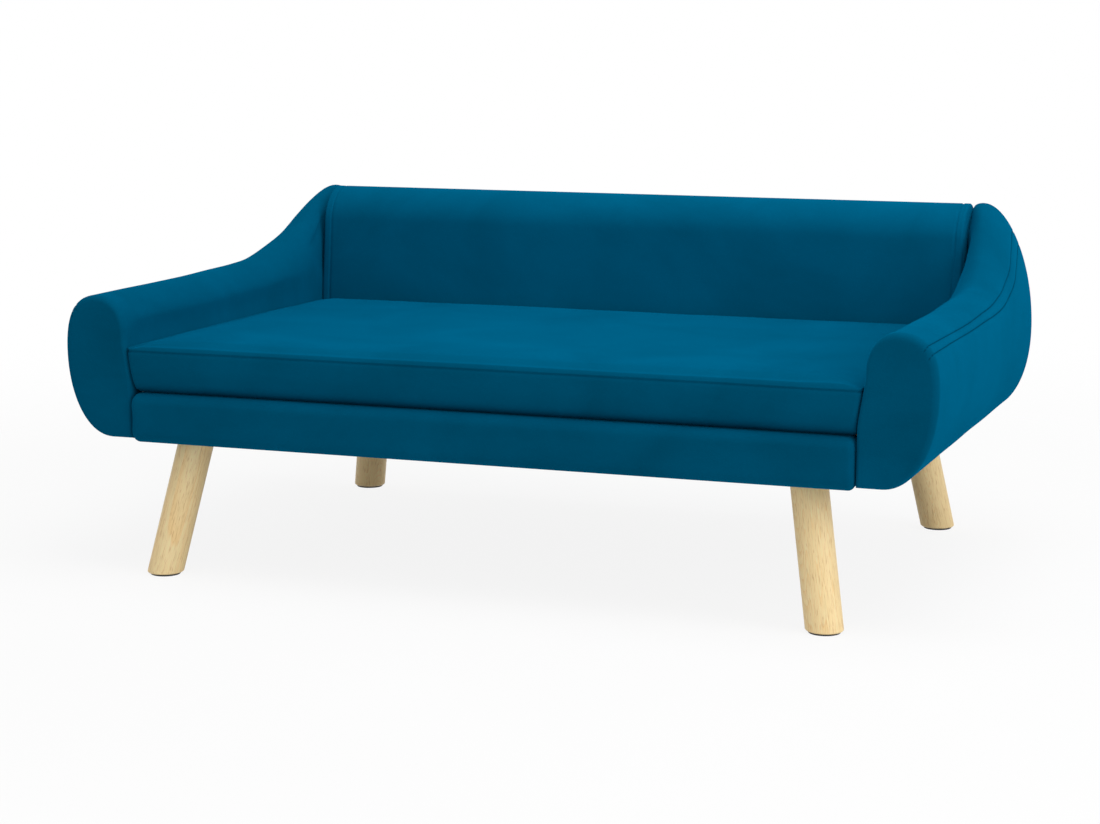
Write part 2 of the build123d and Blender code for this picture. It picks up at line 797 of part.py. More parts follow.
# Backrest. Its outline leans at the front, turns over the top and stands upright at the rear; its ends
# follow the arms' inner sides. The frame is a sill, three ribs, a top rail and a plywood front board.
sill_bottom = deck_top + velvet
sill_top = sill_bottom + sill_height
frame_top = back_height - back_frame_drop
top_rail_bottom = frame_top - top_rail_height
board_foot_z = deck_top + back_board_foot
board_front_depth = velvet + back_foam_thickness
board_back_depth = board_front_depth + back_board_thickness
frame_half = arm_inner - back_end_gap - velvet - back_board_inset


def back_outline(inset):
    """Side outline of the backrest, drawn in by inset."""
    front_radius = back_front_radius - inset
    rear_radius = back_rear_radius - inset
    lean = radians(back_lean)
    shoulder = (back_crown_y - front_radius * cos(lean), front_centre_z + front_radius * sin(lean))
    bottom = deck_top + inset
    toe = (back_line(bottom, inset), bottom)
    crown = (back_crown_y, front_centre_z + front_radius)
    rear_top = (back_crown_y + rear_radius, rear_centre_z)
    with BuildSketch(Plane.YZ) as outline:
        with BuildLine():
            Line(toe, shoulder)
            RadiusArc(shoulder, crown, front_radius)
            RadiusArc(crown, rear_top, rear_radius)
            Polyline(rear_top, (rear_top[0], bottom), toe)
        make_face()
        fillet(outline.vertices().sort_by(Axis.X)[0], back_toe_radius - inset)
    return outline.sketch.face()


def back_ends(inset):
    """Front view of the backrest's length, with both ends along the arms' inner sides."""
    shift = -back_end_gap - inset
    bottom = deck_top + inset
    top = back_height + overrun
    right_foot = (arm_inner + shift, bottom)
    with BuildSketch(Plane.XZ) as ends:
        with BuildLine():
            Line((0, bottom), right_foot)
            Line(right_foot, flare_points(shift)[0])
            Bezier(*flare_points(shift))
            Line(inner_line(arm_flare_end, shift), inner_line(top, shift))
            Line(inner_line(top, shift), (0, top))
            Line((0, top), (0, bottom))
        make_face()
        mirror(about=Plane.YZ)
    return ends.sketch.face()


def runs_round_end(edge):
    """Whether an edge follows the front or the top of the outline at one of the ends."""
    limits = edge.bounding_box().size
    return abs(edge.center().X) > frame_half and min(limits.Y, limits.Z) > touch_gap


def back_form(inset):
    """Outer form of the backrest, drawn in by inset, with rounded ends."""
    with BuildPart() as form:
        extrude(back_outline(inset), amount=half_length, both=True)
        extrude(back_ends(inset), amount=-sofa_depth, mode=Mode.INTERSECT)
        fillet(form.edges().filter_by(runs_round_end), back_end_radius - inset)
    return form.part


back_skin = back_form(0)
back_core = back_form(velvet)

with BuildPart() as back_lining:
    extrude(back_ends(velvet), amount=-back_rear)
    lining_box = box((-half_length, half_length), (rear_rail_back, back_rear), (sill_bottom, rear_centre_z))
    add(lining_box, mode=Mode.INTERSECT)
save(back_lining, "back_rear_lining")

with BuildPart() as back_cover:
    add(back_skin)
    add(back_core, mode=Mode.SUBTRACT)
    add(back_lining.part, mode=Mode.SUBTRACT)
    with BuildSketch(Plane.XY.offset(deck_top)):
        with Locations(*[(x, back_bolt_y) for x in back_bolt_xs]):
            Circle(bolt_hole_radius)
    extrude(amount=velvet, mode=Mode.SUBTRACT)
save(back_cover, "back_cover")

# Corners of the frame in side view
sill_front_bottom = (rear_rail_back - sill_depth, sill_bottom)
sill_front_middle = (back_line(board_foot_z, board_back_depth), board_foot_z)
sill_front_top = (back_line(sill_top, board_back_depth), sill_top)
sill_rear_bottom = (rear_rail_back, sill_bottom)
sill_rear_top = (rear_rail_back, sill_top)
rail_front_bottom = (back_line(top_rail_bottom, board_back_depth), top_rail_bottom)
rail_front_top = (back_line(frame_top, board_back_depth), frame_top)
rail_rear_bottom = (rear_rail_back, top_rail_bottom)
rail_rear_top = (rear_rail_back, frame_top)
board_front_bottom = (back_line(board_foot_z, board_front_depth), board_foot_z)
board_front_top = (back_line(frame_top, board_front_depth), frame_top)


def slab(points, x_middle, length):
    """A straight bar along X with the given corners in side view."""
    with BuildPart() as bar:
        with BuildSketch(Plane.YZ.offset(x_middle - length / 2)):
            with BuildLine():
                Polyline(*points, close=True)
            make_face()
        extrude(amount=length)
    return bar.part


with BuildPart() as back_sill:
    add(
        slab(
            [sill_front_bottom, sill_front_middle, sill_front_top, sill_rear_top, sill_rear_bottom],
            0,
            2 * frame_half,
        )
    )
    with BuildSketch(Plane.XY.offset(sill_bottom)):
        with Locations(*[(x, back_bolt_y) for x in back_bolt_xs]):
            Circle(insert_diameter / 2)
    extrude(amount=insert_length, mode=Mode.SUBTRACT)
save(back_sill, "back_sill")

with BuildPart() as top_rail:
    add(slab([rail_front_bottom, rail_front_top, rail_rear_top, rail_rear_bottom], 0, 2 * frame_half))
save(top_rail, "back_top_rail")

with BuildPart() as back_board:
    add(slab([board_front_bottom, board_front_top, rail_front_top, sill_front_middle], 0, 2 * frame_half))
save(back_board, "back_board")

rib_x = frame_half - rib_thickness / 2
rib_hole_z = lerp(sill_top, top_rail_bottom, rib_hole_rise_share)
rib_front_y = back_line(rib_hole_z, board_back_depth)
rib_hole_y = (rib_front_y + rear_rail_back) / 2
rib_hole_radius = (rear_rail_back - rib_front_y) / 2 - rib_hole_wall
for rib_name, x in (("left", -rib_x), ("centre", 0), ("right", rib_x)):
    with BuildPart() as rib:
        add(slab([sill_front_top, rail_front_bottom, rail_rear_bottom, sill_rear_top], x, rib_thickness))
        with BuildSketch(Plane.YZ.offset(x - rib_thickness / 2)):
            with Locations((rib_hole_y, rib_hole_z)):
                Circle(rib_hole_radius)
        extrude(amount=rib_thickness, mode=Mode.SUBTRACT)
    save(rib, "back_rib_" + rib_name)

frame_outline = [
    sill_front_bottom,
    sill_front_middle,
    board_front_bottom,
    board_front_top,
    rail_rear_top,
    sill_rear_bottom,
]
with BuildPart() as back_foam:
    add(back_core)
    add(slab(frame_outline, 0, 2 * frame_half), mode=Mode.SUBTRACT)
save(back_foam, "back_foam")

back_bolt_top = sill_bottom + insert_length - bolt_end_gap
back_bolt_length = back_bolt_top - rail_bottom - back_bolt_recess + washer_thickness
washer_planes = [plane.offset(-washer_thickness) for plane in back_bolt_planes]
save(placed(bolt_form(back_bolt_length), washer_planes), "back_bolts")
save(placed(washer, washer_planes), "back_washers")
nut_offset = sill_bottom - rail_bottom - back_bolt_recess
save(placed(insert_nut, [plane.offset(nut_offset) for plane in back_bolt_planes]), "back_insert_nuts")

# Loose seat cushion: foam in a zipped velvet cover. Its ends follow the arms, its front and its ends
# bulge a little at mid height, and its top rises to a low crown.
cushion_bottom = deck_top + cushion_lift_gap
bulge_levels = [
    cushion_bottom,
    lerp(cushion_bottom, seat_top, third),
    lerp(seat_top, cushion_bottom, third),
    seat_top,
]


def cushion_section(z, inset, x_inset=0.0, front_inset=0.0, rise=0.0):
    """Horizontal section of the cushion at height z."""
    shape_z = min(max(z, cushion_bottom), seat_top)
    middle_share = 2 * (shape_z - cushion_bottom) / (seat_top - cushion_bottom) - 1
    half = inner_x(shape_z) - cushion_side_gap - cushion_end_draw * middle_share**2 - inset - x_inset
    front = front_y + cushion_front_draw * middle_share**2 + inset + front_inset
    rear = cushion_rear - inset - front_inset
    with BuildSketch(Plane.XY.offset(z + rise)) as section:
        with Locations((0, (front + rear) / 2)):
            RectangleRounded(2 * half, rear - front, cushion_corner_radius - inset)
    return section.sketch.face()


def cushion_form(inset):
    """Outer form of the cushion, drawn in by inset."""
    levels = [cushion_bottom + inset] + bulge_levels[1:-1] + [seat_top - inset]
    sections = [cushion_section(z, inset) for z in levels]
    for crown_inset, crown_share in ((crown_first_inset, crown_first_share), (crown_second_inset, 1)):
        top = levels[-1]
        sections.append(cushion_section(top, inset, crown_inset, crown_inset, cushion_crown * crown_share))
    with BuildPart() as form:
        loft(sections=sections, ruled=True)
        top_edges = form.edges().filter_by(lambda edge: lies_level(edge, levels[-1]))
        fillet(top_edges, cushion_top_radius - inset)
        bottom_face = form.faces().sort_by(Axis.Z)[0]
        fillet(bottom_face.edges(), cushion_foot_radius - inset)
    return form.part


def lies_level(edge, z):
    """Whether an edge lies flat at height z."""
    limits = edge.bounding_box()
    return max(abs(limits.min.Z - z), abs(limits.max.Z - z)) < thread_gap


cushion_skin = cushion_form(0)
cushion_core = cushion_form(velvet)
slot_bottom = zip_height - zip_slot_height / 2
slot_top = zip_height + zip_slot_height / 2
zip_x_range = (-zip_length / 2, zip_length / 2)
core_rear = cushion_rear - velvet
with BuildPart() as cushion_cover:
    add(cushion_skin)
    add(cushion_core, mode=Mode.SUBTRACT)
    add(box(zip_x_range, (core_rear, cushion_rear), (slot_bottom, slot_top)), mode=Mode.SUBTRACT)
save(cushion_cover, "cushion_cover")

with BuildPart() as cushion_foam:
    add(cushion_core)
save(cushion_foam, "cushion_foam")

# The zip fills the slot in the rear of the cover: two tapes, the closed chain between them and a slider
# that straddles the chain, with its pull threaded through the bail.
chain_bottom = zip_height - chain_width / 2
chain_top = zip_height + chain_width / 2
chain_back = core_rear + chain_thickness
with BuildPart() as zip_tapes:
    add(box(zip_x_range, (core_rear, core_rear + tape_thickness), (slot_bottom, chain_bottom)))
    add(box(zip_x_range, (core_rear, core_rear + tape_thickness), (chain_top, slot_top)))
save(zip_tapes, "zip_tapes")

with BuildPart() as zip_chain:
    add(box(zip_x_range, (core_rear, chain_back), (chain_bottom, chain_top)))
    chain_edges = zip_chain.faces().sort_by(Axis.Y)[-1].edges().filter_by(Axis.X)
    chamfer(chain_edges, chain_chamfer)
save(zip_chain, "zip_chain")

slider_start = -zip_length / 2 + slider_end_margin
slider_x_range = (slider_start, slider_start + slider_length)
slider_front = core_rear + tape_thickness + slider_gap
slider_back = chain_back + slider_gap + slider_plate
slider_z_range = (zip_height - slider_width / 2, zip_height + slider_width / 2)
channel_z_range = (chain_bottom - slider_gap, chain_top + slider_gap)
bail_middle = slider_start + slider_length / 2
bail_x_range = (bail_middle - bail_length / 2, bail_middle + bail_length / 2)
bail_z_range = (zip_height - bail_width / 2, zip_height + bail_width / 2)
bail_back = slider_back + bail_height
with BuildPart() as zip_slider:
    add(box(slider_x_range, (slider_front, slider_back), slider_z_range))
    corner_edges = zip_slider.edges().filter_by(Axis.Y)
    fillet(corner_edges, slider_plate)
    add(box(slider_x_range, (slider_front, chain_back + slider_gap), channel_z_range), mode=Mode.SUBTRACT)
    add(box(bail_x_range, (slider_back, bail_back), bail_z_range))
    add(
        box(
            (bail_x_range[0] + bail_bar, bail_x_range[1] - bail_bar),
            (slider_back, bail_back - bail_bar),
            bail_z_range,
        ),
        mode=Mode.SUBTRACT,
    )
save(zip_slider, "zip_slider")

pull_front = slider_back + pull_gap
with BuildPart() as zip_pull:
    with BuildSketch(Plane.XZ.offset(-pull_front)):
        pull_rear_x = bail_x_range[0] - pull_gap - pull_bar
        with Locations((pull_rear_x + pull_length / 2, zip_height)):
            RectangleRounded(pull_length, pull_width, pull_corner)
        eye_start = bail_x_range[0] - pull_gap
        eye_end = eye_start + bail_bar + 2 * pull_gap
        with Locations(((eye_start + eye_end) / 2, zip_height)):
            Rectangle(eye_end - eye_start, bail_width + 2 * pull_gap, mode=Mode.SUBTRACT)
        eye_start = bail_x_range[1] - bail_bar - pull_gap
        eye_end = bail_x_range[1] + pull_gap
        with Locations(((eye_start + eye_end) / 2, zip_height)):
            Rectangle(eye_end - eye_start, bail_width + 2 * pull_gap, mode=Mode.SUBTRACT)
    extrude(amount=-pull_thickness)
save(zip_pull, "zip_pull")
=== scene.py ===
import math

import bmesh
import bpy
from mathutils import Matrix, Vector, kdtree, noise


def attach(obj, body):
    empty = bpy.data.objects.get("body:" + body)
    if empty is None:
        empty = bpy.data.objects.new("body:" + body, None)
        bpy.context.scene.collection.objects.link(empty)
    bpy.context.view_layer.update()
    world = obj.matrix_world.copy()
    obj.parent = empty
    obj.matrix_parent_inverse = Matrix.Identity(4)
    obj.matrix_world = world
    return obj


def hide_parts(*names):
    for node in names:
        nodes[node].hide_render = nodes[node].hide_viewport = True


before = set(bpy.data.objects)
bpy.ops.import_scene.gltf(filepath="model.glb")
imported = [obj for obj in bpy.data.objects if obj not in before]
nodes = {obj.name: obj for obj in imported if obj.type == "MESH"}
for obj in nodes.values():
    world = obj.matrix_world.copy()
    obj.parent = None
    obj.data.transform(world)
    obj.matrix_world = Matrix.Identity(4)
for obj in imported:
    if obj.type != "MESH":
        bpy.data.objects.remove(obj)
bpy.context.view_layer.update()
scene = bpy.context.scene

# All lengths are millimetres in this script and turn into metres where a mesh is made.
MM = 0.001


def new_object(name, data):
    """A new object in the scene."""
    thing = bpy.data.objects.new(name, data)
    scene.collection.objects.link(thing)
    return thing


def new_mesh(name, points, faces):
    """A mesh from points in millimetres and faces."""
    mesh = bpy.data.meshes.new(name)
    mesh.from_pydata([Vector(p) * MM for p in points], [], faces)
    return mesh


# Photograph's camera
camera_place = (1009.0, -2754.8, 647.4)
camera_yaw, camera_pitch = math.radians(20.56), math.radians(9.35)
camera_lens, sensor_width = 82.62, 36.0

cam_data = bpy.data.cameras.new("camera")
cam_data.lens = camera_lens
cam_data.sensor_width = sensor_width
cam_data.sensor_fit = "HORIZONTAL"
cam_data.clip_end = 50.0
cam = new_object("camera", cam_data)
level = math.cos(camera_pitch)
aim = Vector((-math.sin(camera_yaw) * level, math.cos(camera_yaw) * level, -math.sin(camera_pitch)))
cam.location = Vector(camera_place) * MM
cam.rotation_euler = aim.to_track_quat("-Z", "Y").to_euler()
scene.camera = cam


# Materials
class Nodes:
    """Short helper round the node tree of a material or the world."""

    def __init__(self, owner):
        owner.use_nodes = True
        self.owner = owner
        self.tree = owner.node_tree

    def put(self, value, socket):
        """Links a socket's output to the given input, or sets the input to a constant."""
        if isinstance(value, bpy.types.NodeSocket):
            self.tree.links.new(value, socket)
        else:
            socket.default_value = (*value, 1.0) if socket.type == "RGBA" and len(value) == 3 else value

    def add(self, kind, values=None, **settings):
        node = self.tree.nodes.new(kind)
        for key, value in settings.items():
            setattr(node, key, value)
        for key, value in (values or {}).items():
            self.put(value, node.inputs[key])
        return node

    def mapping(self, rotation=(0, 0, 0), scale=(1, 1, 1), shift=(0, 0, 0), vector=None):
        values = {"Vector": vector or self.place, "Rotation": rotation, "Scale": scale, "Location": shift}
        return self.add("ShaderNodeMapping", values).outputs["Vector"]

    def noise(self, scale, detail=2.0, vector=None, roughness=0.5, distortion=0.0):
        values = {"Vector": vector or self.place, "Scale": scale, "Detail": detail}
        values.update({"Roughness": roughness, "Distortion": distortion})
        return self.add("ShaderNodeTexNoise", values).outputs["Fac"]

    def ramp(self, factor, stops):
        node = self.add("ShaderNodeValToRGB", {"Fac": factor})
        elements = node.color_ramp.elements
        while len(elements) < len(stops):
            elements.new(0.5)
        for element, (position, colour) in zip(elements, stops):
            element.position = position
            element.color = (*colour, 1.0)
        return node.outputs["Color"]

    def greys(self, factor, *stops):
        return self.ramp(factor, [(position, (grey, grey, grey)) for position, grey in stops])

    def tones(self, factor, dark, light):
        return self.ramp(factor, [(0.3, dark), (0.7, light)])

    def mix(self, factor, a, b, mode="MIX"):
        node = self.add("ShaderNodeMix", data_type="RGBA", blend_type=mode)
        for value, name in ((factor, "Factor"), (a, "A"), (b, "B")):
            self.put(value, [s for s in node.inputs if s.name == name and s.enabled][0])
        return [s for s in node.outputs if s.enabled][0]

    def math(self, operation, a, b=0.0):
        return self.add("ShaderNodeMath", {0: a, 1: b}, operation=operation).outputs[0]

    def bump(self, height, strength, distance, below=None):
        values = {"Height": height, "Strength": strength, "Distance": distance}
        if below:
            values["Normal"] = below
        return self.add("ShaderNodeBump", values).outputs["Normal"]

    def blend(self, share, first, second):
        return self.add("ShaderNodeMixShader", {"Fac": share, 1: first, 2: second}).outputs["Shader"]

    def surface(self, shader):
        output = [node for node in self.tree.nodes if node.bl_idname.startswith("ShaderNodeOutput")][0]
        self.put(shader, output.inputs["Surface"])

    def seen(self):
        """1 for rays from the camera, off gloss and through glass, which see a white background."""
        rays = self.add("ShaderNodeLightPath").outputs
        direct = self.math("MAXIMUM", rays["Is Camera Ray"], rays["Is Glossy Ray"])
        return self.math("MAXIMUM", direct, rays["Is Transmission Ray"])

    def finish(self, colour, roughness, normal=None, **values):
        values = {"Base_Color": colour, "Roughness": roughness, **values}
        if normal:
            values["Normal"] = normal
        for name, value in values.items():
            self.put(value, self.shader.inputs[name.replace("_", " ")])
        return self.owner


def new_material(name):
    m = Nodes(bpy.data.materials.new(name))
    m.shader = m.tree.nodes["Principled BSDF"]
    m.place = m.add("ShaderNodeTexCoord").outputs["Object"]
    return m


def velvet(name, seed=0.0, painted_light_factor=1.0):
    """Short-pile velvet: cloudy nap, fine pile and a soft sheen. A light factor above 1 paints light into its
    colour, one below 1 paints shade.
    """
    m = new_material(name)
    moved = m.mapping(shift=(seed, seed * 2, -seed))
    nap = m.noise(7.0, 4.0, moved, 0.55, 0.6)
    brushed = m.noise(1.0, 3.0, m.mapping(scale=(16.0, 60.0, 60.0), shift=(seed, 0, 0)), 0.6, 0.4)
    pile = m.noise(1400.0, 2.0, moved, 0.7)
    weave = m.noise(420.0, 2.0, moved, 0.6)
    shades = ((0.3, 0.069, 0.137), (0.52, 0.08, 0.16), (0.72, 0.091, 0.181))
    cloud = m.ramp(nap, [(place, (0.0, green * painted_light_factor, blue * painted_light_factor)) for place, green, blue in shades])
    streaks = m.mix(m.math("MULTIPLY", brushed, 0.14), cloud, (0.0, 0.15, 0.3))
    colour = m.mix(0.55, streaks, m.greys(pile, (0.3, 0.8), (0.7, 1.15)), "MULTIPLY")
    rough = m.math("ADD", m.math("MULTIPLY", nap, 0.12), 0.74)
    normal = m.bump(pile, 0.35, 0.00035, m.bump(weave, 0.25, 0.0006))
    sheen = {"Sheen_Weight": 0.24, "Sheen_Roughness": 0.42, "Sheen_Tint": (0.0, 0.5, 1.0)}
    return m.finish(colour, rough, normal, Specular_IOR_Level=0.0, **sheen)


def thread(name, colour):
    """Twisted sewing thread."""
    m = new_material(name)
    twist = m.noise(2600.0, 2.0)
    shade = m.tones(twist, tuple(c * 0.6 for c in colour), colour)
    return m.finish(shade, 0.6, m.bump(twist, 0.4, 0.0002), Specular_IOR_Level=0.0)


def timber(name, light, dark, axis=(1, 0, 0), seed=0.0, ring_scale=26.0, gloss=0.5, pores=0.5):
    """Wood with rings cut lengthways, fine fibres and pores along the given axis."""
    m = new_material(name)
    turn = Vector((0, 0, 1)).rotation_difference(Vector(axis)).to_matrix().inverted().to_euler()
    along = m.mapping(rotation=tuple(turn))
    long_place = m.mapping(scale=(1.0, 1.0, 0.085), shift=(seed, seed * 1.7, seed * 0.6), vector=along)
    warp = m.noise(9.0, 2.0, long_place, 0.5, 0.5)
    stretch = m.math("ADD", m.math("MULTIPLY", warp, 0.35), 0.9)
    offset = m.add("ShaderNodeVectorMath", {0: long_place, "Scale": stretch}, operation="SCALE")
    rings = m.add(
        "ShaderNodeTexWave",
        {"Vector": offset.outputs["Vector"], "Scale": ring_scale, "Distortion": 3.2, "Detail": 3.0,
         "Detail Scale": 1.2},
        wave_type="RINGS", rings_direction="Z", wave_profile="SAW",
    ).outputs["Fac"]
    fibres = m.noise(900.0, 3.0, m.mapping(scale=(1.0, 1.0, 0.06), vector=along), 0.65)
    pore = m.noise(1150.0, 1.0, m.mapping(scale=(1.0, 1.0, 0.07), vector=along), 0.5)
    middle = tuple((a + b) / 2 for a, b in zip(light, dark))
    grain = m.ramp(rings, [(0.0, light), (0.62, middle), (0.93, dark), (1.0, light)])
    fibre_tone = m.ramp(fibres, [(0.36, (0.91, 0.87, 0.79)), (0.56, (1.06, 1.06, 1.06))])
    colour = m.mix(0.75, grain, fibre_tone, "MULTIPLY")
    dark_pore = (dark[0] * 0.66, dark[1] * 0.5, dark[2] * 0.4)
    pore_mask = m.greys(pore, (0.33, 1.0), (0.39, 0.0))
    colour = m.mix(m.math("MULTIPLY", pore_mask, pores), colour, dark_pore)
    rough = m.math("ADD", m.math("MULTIPLY", fibres, 0.15), gloss)
    return m.finish(colour, rough, m.bump(rings, 0.05, 0.0004, m.bump(fibres, 0.12, 0.0004)))


def plywood(name):
    """Plywood: face veneer with grain along X and thin dark glue lines between its layers."""
    m = new_material(name)
    fibres = m.noise(300.0, 3.0, m.mapping(scale=(0.04, 1.0, 1.0)), 0.6)
    figure = m.noise(22.0, 3.0, m.mapping(scale=(0.15, 1.0, 1.0)), 0.5, 1.4)
    face = m.ramp(figure, [(0.3, (0.62, 0.44, 0.26)), (0.6, (0.71, 0.54, 0.34))])
    veneer = m.tones(fibres, (0.8, 0.78, 0.74), (1.0, 1.0, 1.0))
    layers = m.add(
        "ShaderNodeTexWave", {"Vector": m.place, "Scale": 220.0, "Distortion": 0.4},
        wave_type="BANDS", bands_direction="Z", wave_profile="SIN",
    )
    lines = m.math("MULTIPLY", layers.outputs["Fac"], 0.22)
    colour = m.mix(lines, m.mix(0.6, face, veneer, "MULTIPLY"), (0.3, 0.19, 0.1))
    return m.finish(colour, 0.72, m.bump(fibres, 0.2, 0.0003))


def metal(name, dark, light, roughness):
    """Plated metal with faint blotches and fine scratches."""
    m = new_material(name)
    scratch = m.noise(900.0, 2.0, m.mapping(scale=(0.08, 1.0, 1.0)), 0.7)
    colour = m.tones(m.noise(60.0, 3.0), dark, light)
    rough = m.math("ADD", m.math("MULTIPLY", scratch, 0.2), roughness)
    return m.finish(colour, rough, m.bump(scratch, 0.1, 0.0001), Metallic=0.95)


def plastic(name, dark, light):
    """Moulded plastic with a fine spark-eroded grain."""
    m = new_material(name)
    grain = m.noise(1100.0, 2.0)
    rough = m.math("ADD", m.math("MULTIPLY", grain, 0.15), 0.5)
    return m.finish(m.tones(m.noise(40.0, 3.0), dark, light), rough, m.bump(grain, 0.3, 0.0002))


def felt(name, dark, light):
    """Spun-bonded cloth with a lattice of small weld points."""
    m = new_material(name)
    welds = m.add("ShaderNodeTexVoronoi", {"Randomness": 0.15, "Vector": m.place, "Scale": 420.0})
    fibres = m.noise(800.0, 4.0, None, 0.7, 1.5)
    weld_bump = m.bump(welds.outputs["Distance"], 0.5, 0.0004)
    return m.finish(m.tones(fibres, dark, light), 0.9, m.bump(fibres, 0.4, 0.0003, weld_bump))


def ribbon(name):
    """Woven zip tape."""
    m = new_material(name)
    wave = m.add(
        "ShaderNodeTexWave", {"Vector": m.place, "Scale": 500.0}, wave_type="BANDS", bands_direction="DIAGONAL"
    ).outputs["Fac"]
    colour = m.ramp(wave, [(0.2, (0.0, 0.05, 0.1)), (0.8, (0.003, 0.085, 0.16))])
    return m.finish(colour, 0.8, m.bump(wave, 0.5, 0.0003))


velvet_material = velvet("petrol_velvet")
# Lit and shaded copies of the velvet: the backrest's colour is 19% lighter as painted light, the front rail's
# 2% darker as painted shade
back_velvet_painted_lighter = velvet("petrol_velvet_back_painted_lighter", 1.3, 1.19)
front_velvet_painted_darker = velvet("petrol_velvet_front_painted_darker", 2.1, 0.98)
# The thread is petrol, about half as bright as the velvet: partly its own colour, partly painted shade of the
# seam grooves
thread_material = thread("petrol_thread", (0.0, 0.042, 0.09))
pine_light, pine_dark, pine_looks = (0.78, 0.6, 0.37), (0.62, 0.42, 0.22), (12.0, 0.62, 0.1)
pine_material = timber("planed_softwood", pine_light, pine_dark, (1, 0, 0), 3.1, *pine_looks)
pine_deep = timber("planed_softwood_cross", pine_light, pine_dark, (0, 1, 0), 5.3, *pine_looks)
plywood_material = plywood("birch_plywood")
zinc_material = metal("zinc_steel", (0.52, 0.53, 0.55), (0.68, 0.69, 0.71), 0.32)
slider_material = metal("zip_metal", (0.06, 0.13, 0.17), (0.09, 0.18, 0.23), 0.4)
glide_material = plastic("black_plastic", (0.012, 0.012, 0.012), (0.022, 0.021, 0.02))
coil_material = plastic("zip_coil", (0.002, 0.035, 0.07), (0.004, 0.055, 0.1))
felt_material = felt("black_felt", (0.01, 0.01, 0.011), (0.03, 0.03, 0.032))
tape_material = ribbon("zip_tape")

oak_light, oak_dark = (1.0, 0.8, 0.44), (0.97, 0.69, 0.33)


def dress(material, names):
    """Gives CAD nodes one material."""
    for name in names.split():
        mesh = nodes[name].data
        mesh.materials.clear()
        mesh.materials.append(material)


leg_corners = {"front_left": (-1, -1), "front_right": (1, -1), "rear_left": (-1, 1), "rear_right": (1, 1)}
leg_lean_x, leg_lean_y, leg_rise = 28.0, 32.0, 153.4
for index, (corner, (side_x, side_y)) in enumerate(leg_corners.items()):
    lean = (-side_x * leg_lean_x, -side_y * leg_lean_y, leg_rise)
    oak = timber("oak_" + corner, oak_light, oak_dark, lean, 1.37 * index + 0.4, 46.0, 0.42, 0.5)
    dress(oak, "leg_" + corner)
    dress(glide_material, "leg_glide_" + corner)
    dress(zinc_material, "leg_plate_" + corner)
    dress(pine_material, "corner_block_" + corner)
dress(zinc_material, "leg_hanger_bolts leg_plate_screws rail_screws arm_bolts arm_washers arm_insert_nuts")
dress(zinc_material, "back_bolts back_washers back_insert_nuts")
dress(pine_material, "front_rail rear_rail back_top_rail back_sill")
dress(pine_deep, "side_rail_left side_rail_right centre_rail arm_batten_left arm_batten_right")
dress(pine_deep, "back_rib_left back_rib_centre back_rib_right")
dress(plywood_material, "seat_deck arm_panel_left arm_panel_right back_board")
dress(slider_material, "zip_slider zip_pull")


# Mesh helpers
def lerp(a, b, share):
    return a + (b - a) * share


def ease(x, low, high):
    """Smooth share from 0 to 1 as x goes from low to high."""
    t = min(max((x - low) / (high - low), 0.0), 1.0)
    return t * t * (3 - 2 * t)


def spread(start, end, steps):
    """Evenly spaced values, start and end included."""
    return [lerp(start, end, k / steps) for k in range(steps + 1)]


def between(start, end, share):
    """Point on the straight line between two points."""
    return tuple(lerp(a, b, share) for a, b in zip(start, end))


def line(start, end, steps):
    """Points of a straight line, its first point included and its last one left out."""
    return [between(start, end, k / steps) for k in range(steps)]


def arc(centre, radius, start, end, steps):
    """Points of an arc from one angle to another, both ends included."""
    x, y = centre
    return [(x + radius * math.cos(a), y + radius * math.sin(a)) for a in spread(start, end, steps)]


def rounding(radius, steps):
    """Distances of the points of a round edge from the two sides that it joins."""
    return [(radius * (1 - math.cos(a)), radius * (1 - math.sin(a))) for a in spread(0, math.pi / 2, steps)]


def groove(distance, width, depth):
    """Depth of a soft round groove at a distance from its middle."""
    share = min(abs(distance) / width, 1.0)
    return depth * (1 - share * share) ** 2


def ripple(*place):
    """Smooth random value round 0 at a place."""
    return noise.noise(Vector(place))


def curve_point(a, b, c, d, t):
    """Point of a cubic curve through four control points."""
    s = 1 - t
    weights = (s**3, 3 * s * s * t, 3 * s * t * t, t**3)
    return tuple(sum(w * p[i] for w, p in zip(weights, (a, b, c, d))) for i in range(len(a)))


def corner_curve(start, corner, end, share, t):
    """Point of the curve that leaves start and reaches end along the sides of a corner."""
    return curve_point(start, between(start, corner, share), between(end, corner, share), end, t)


def smooth_table(rows, x):
    """Value rows at x, from a smooth curve through rows of (x, value, value...)."""
    last = len(rows) - 1
    i = next(i for i in range(last) if x <= rows[i + 1][0] or i == last - 1)
    before, start, end, after = rows[max(i - 1, 0)], rows[i], rows[i + 1], rows[min(i + 2, last)]
    span = end[0] - start[0]
    t = min(max((x - start[0]) / span, 0.0), 1.0)
    weights = (2 * t**3 - 3 * t**2 + 1, t**3 - 2 * t**2 + t, 3 * t**2 - 2 * t**3, t**3 - t**2)
    values = []
    for k in range(1, len(start)):
        slope_start = (end[k] - before[k]) / (end[0] - before[0]) * span
        slope_end = 0.0 if end is after else (after[k] - start[k]) / (after[0] - start[0]) * span
        values.append(sum(w * v for w, v in zip(weights, (start[k], slope_start, end[k], slope_end))))
    return values


def make_piece(name, points, faces, material, body, smooth=True):
    """A piece from points in millimetres and faces."""
    mesh = new_mesh(name, points, faces)
    mesh.validate()
    mesh.materials.append(material)
    bm = bmesh.new()
    bm.from_mesh(mesh)
    bmesh.ops.recalc_face_normals(bm, faces=bm.faces)
    bm.to_mesh(mesh)
    bm.free()
    mesh.polygons.foreach_set("use_smooth", [smooth] * len(mesh.polygons))
    piece = new_object(name, mesh)
    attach(piece, body)
    return piece


def band(faces, low, high, size):
    """Adds the faces between two closed rings of points, from the number of each ring's first point."""
    for k in range(size):
        after = (k + 1) % size
        faces.append((low + k, low + after, high + after, high + k))


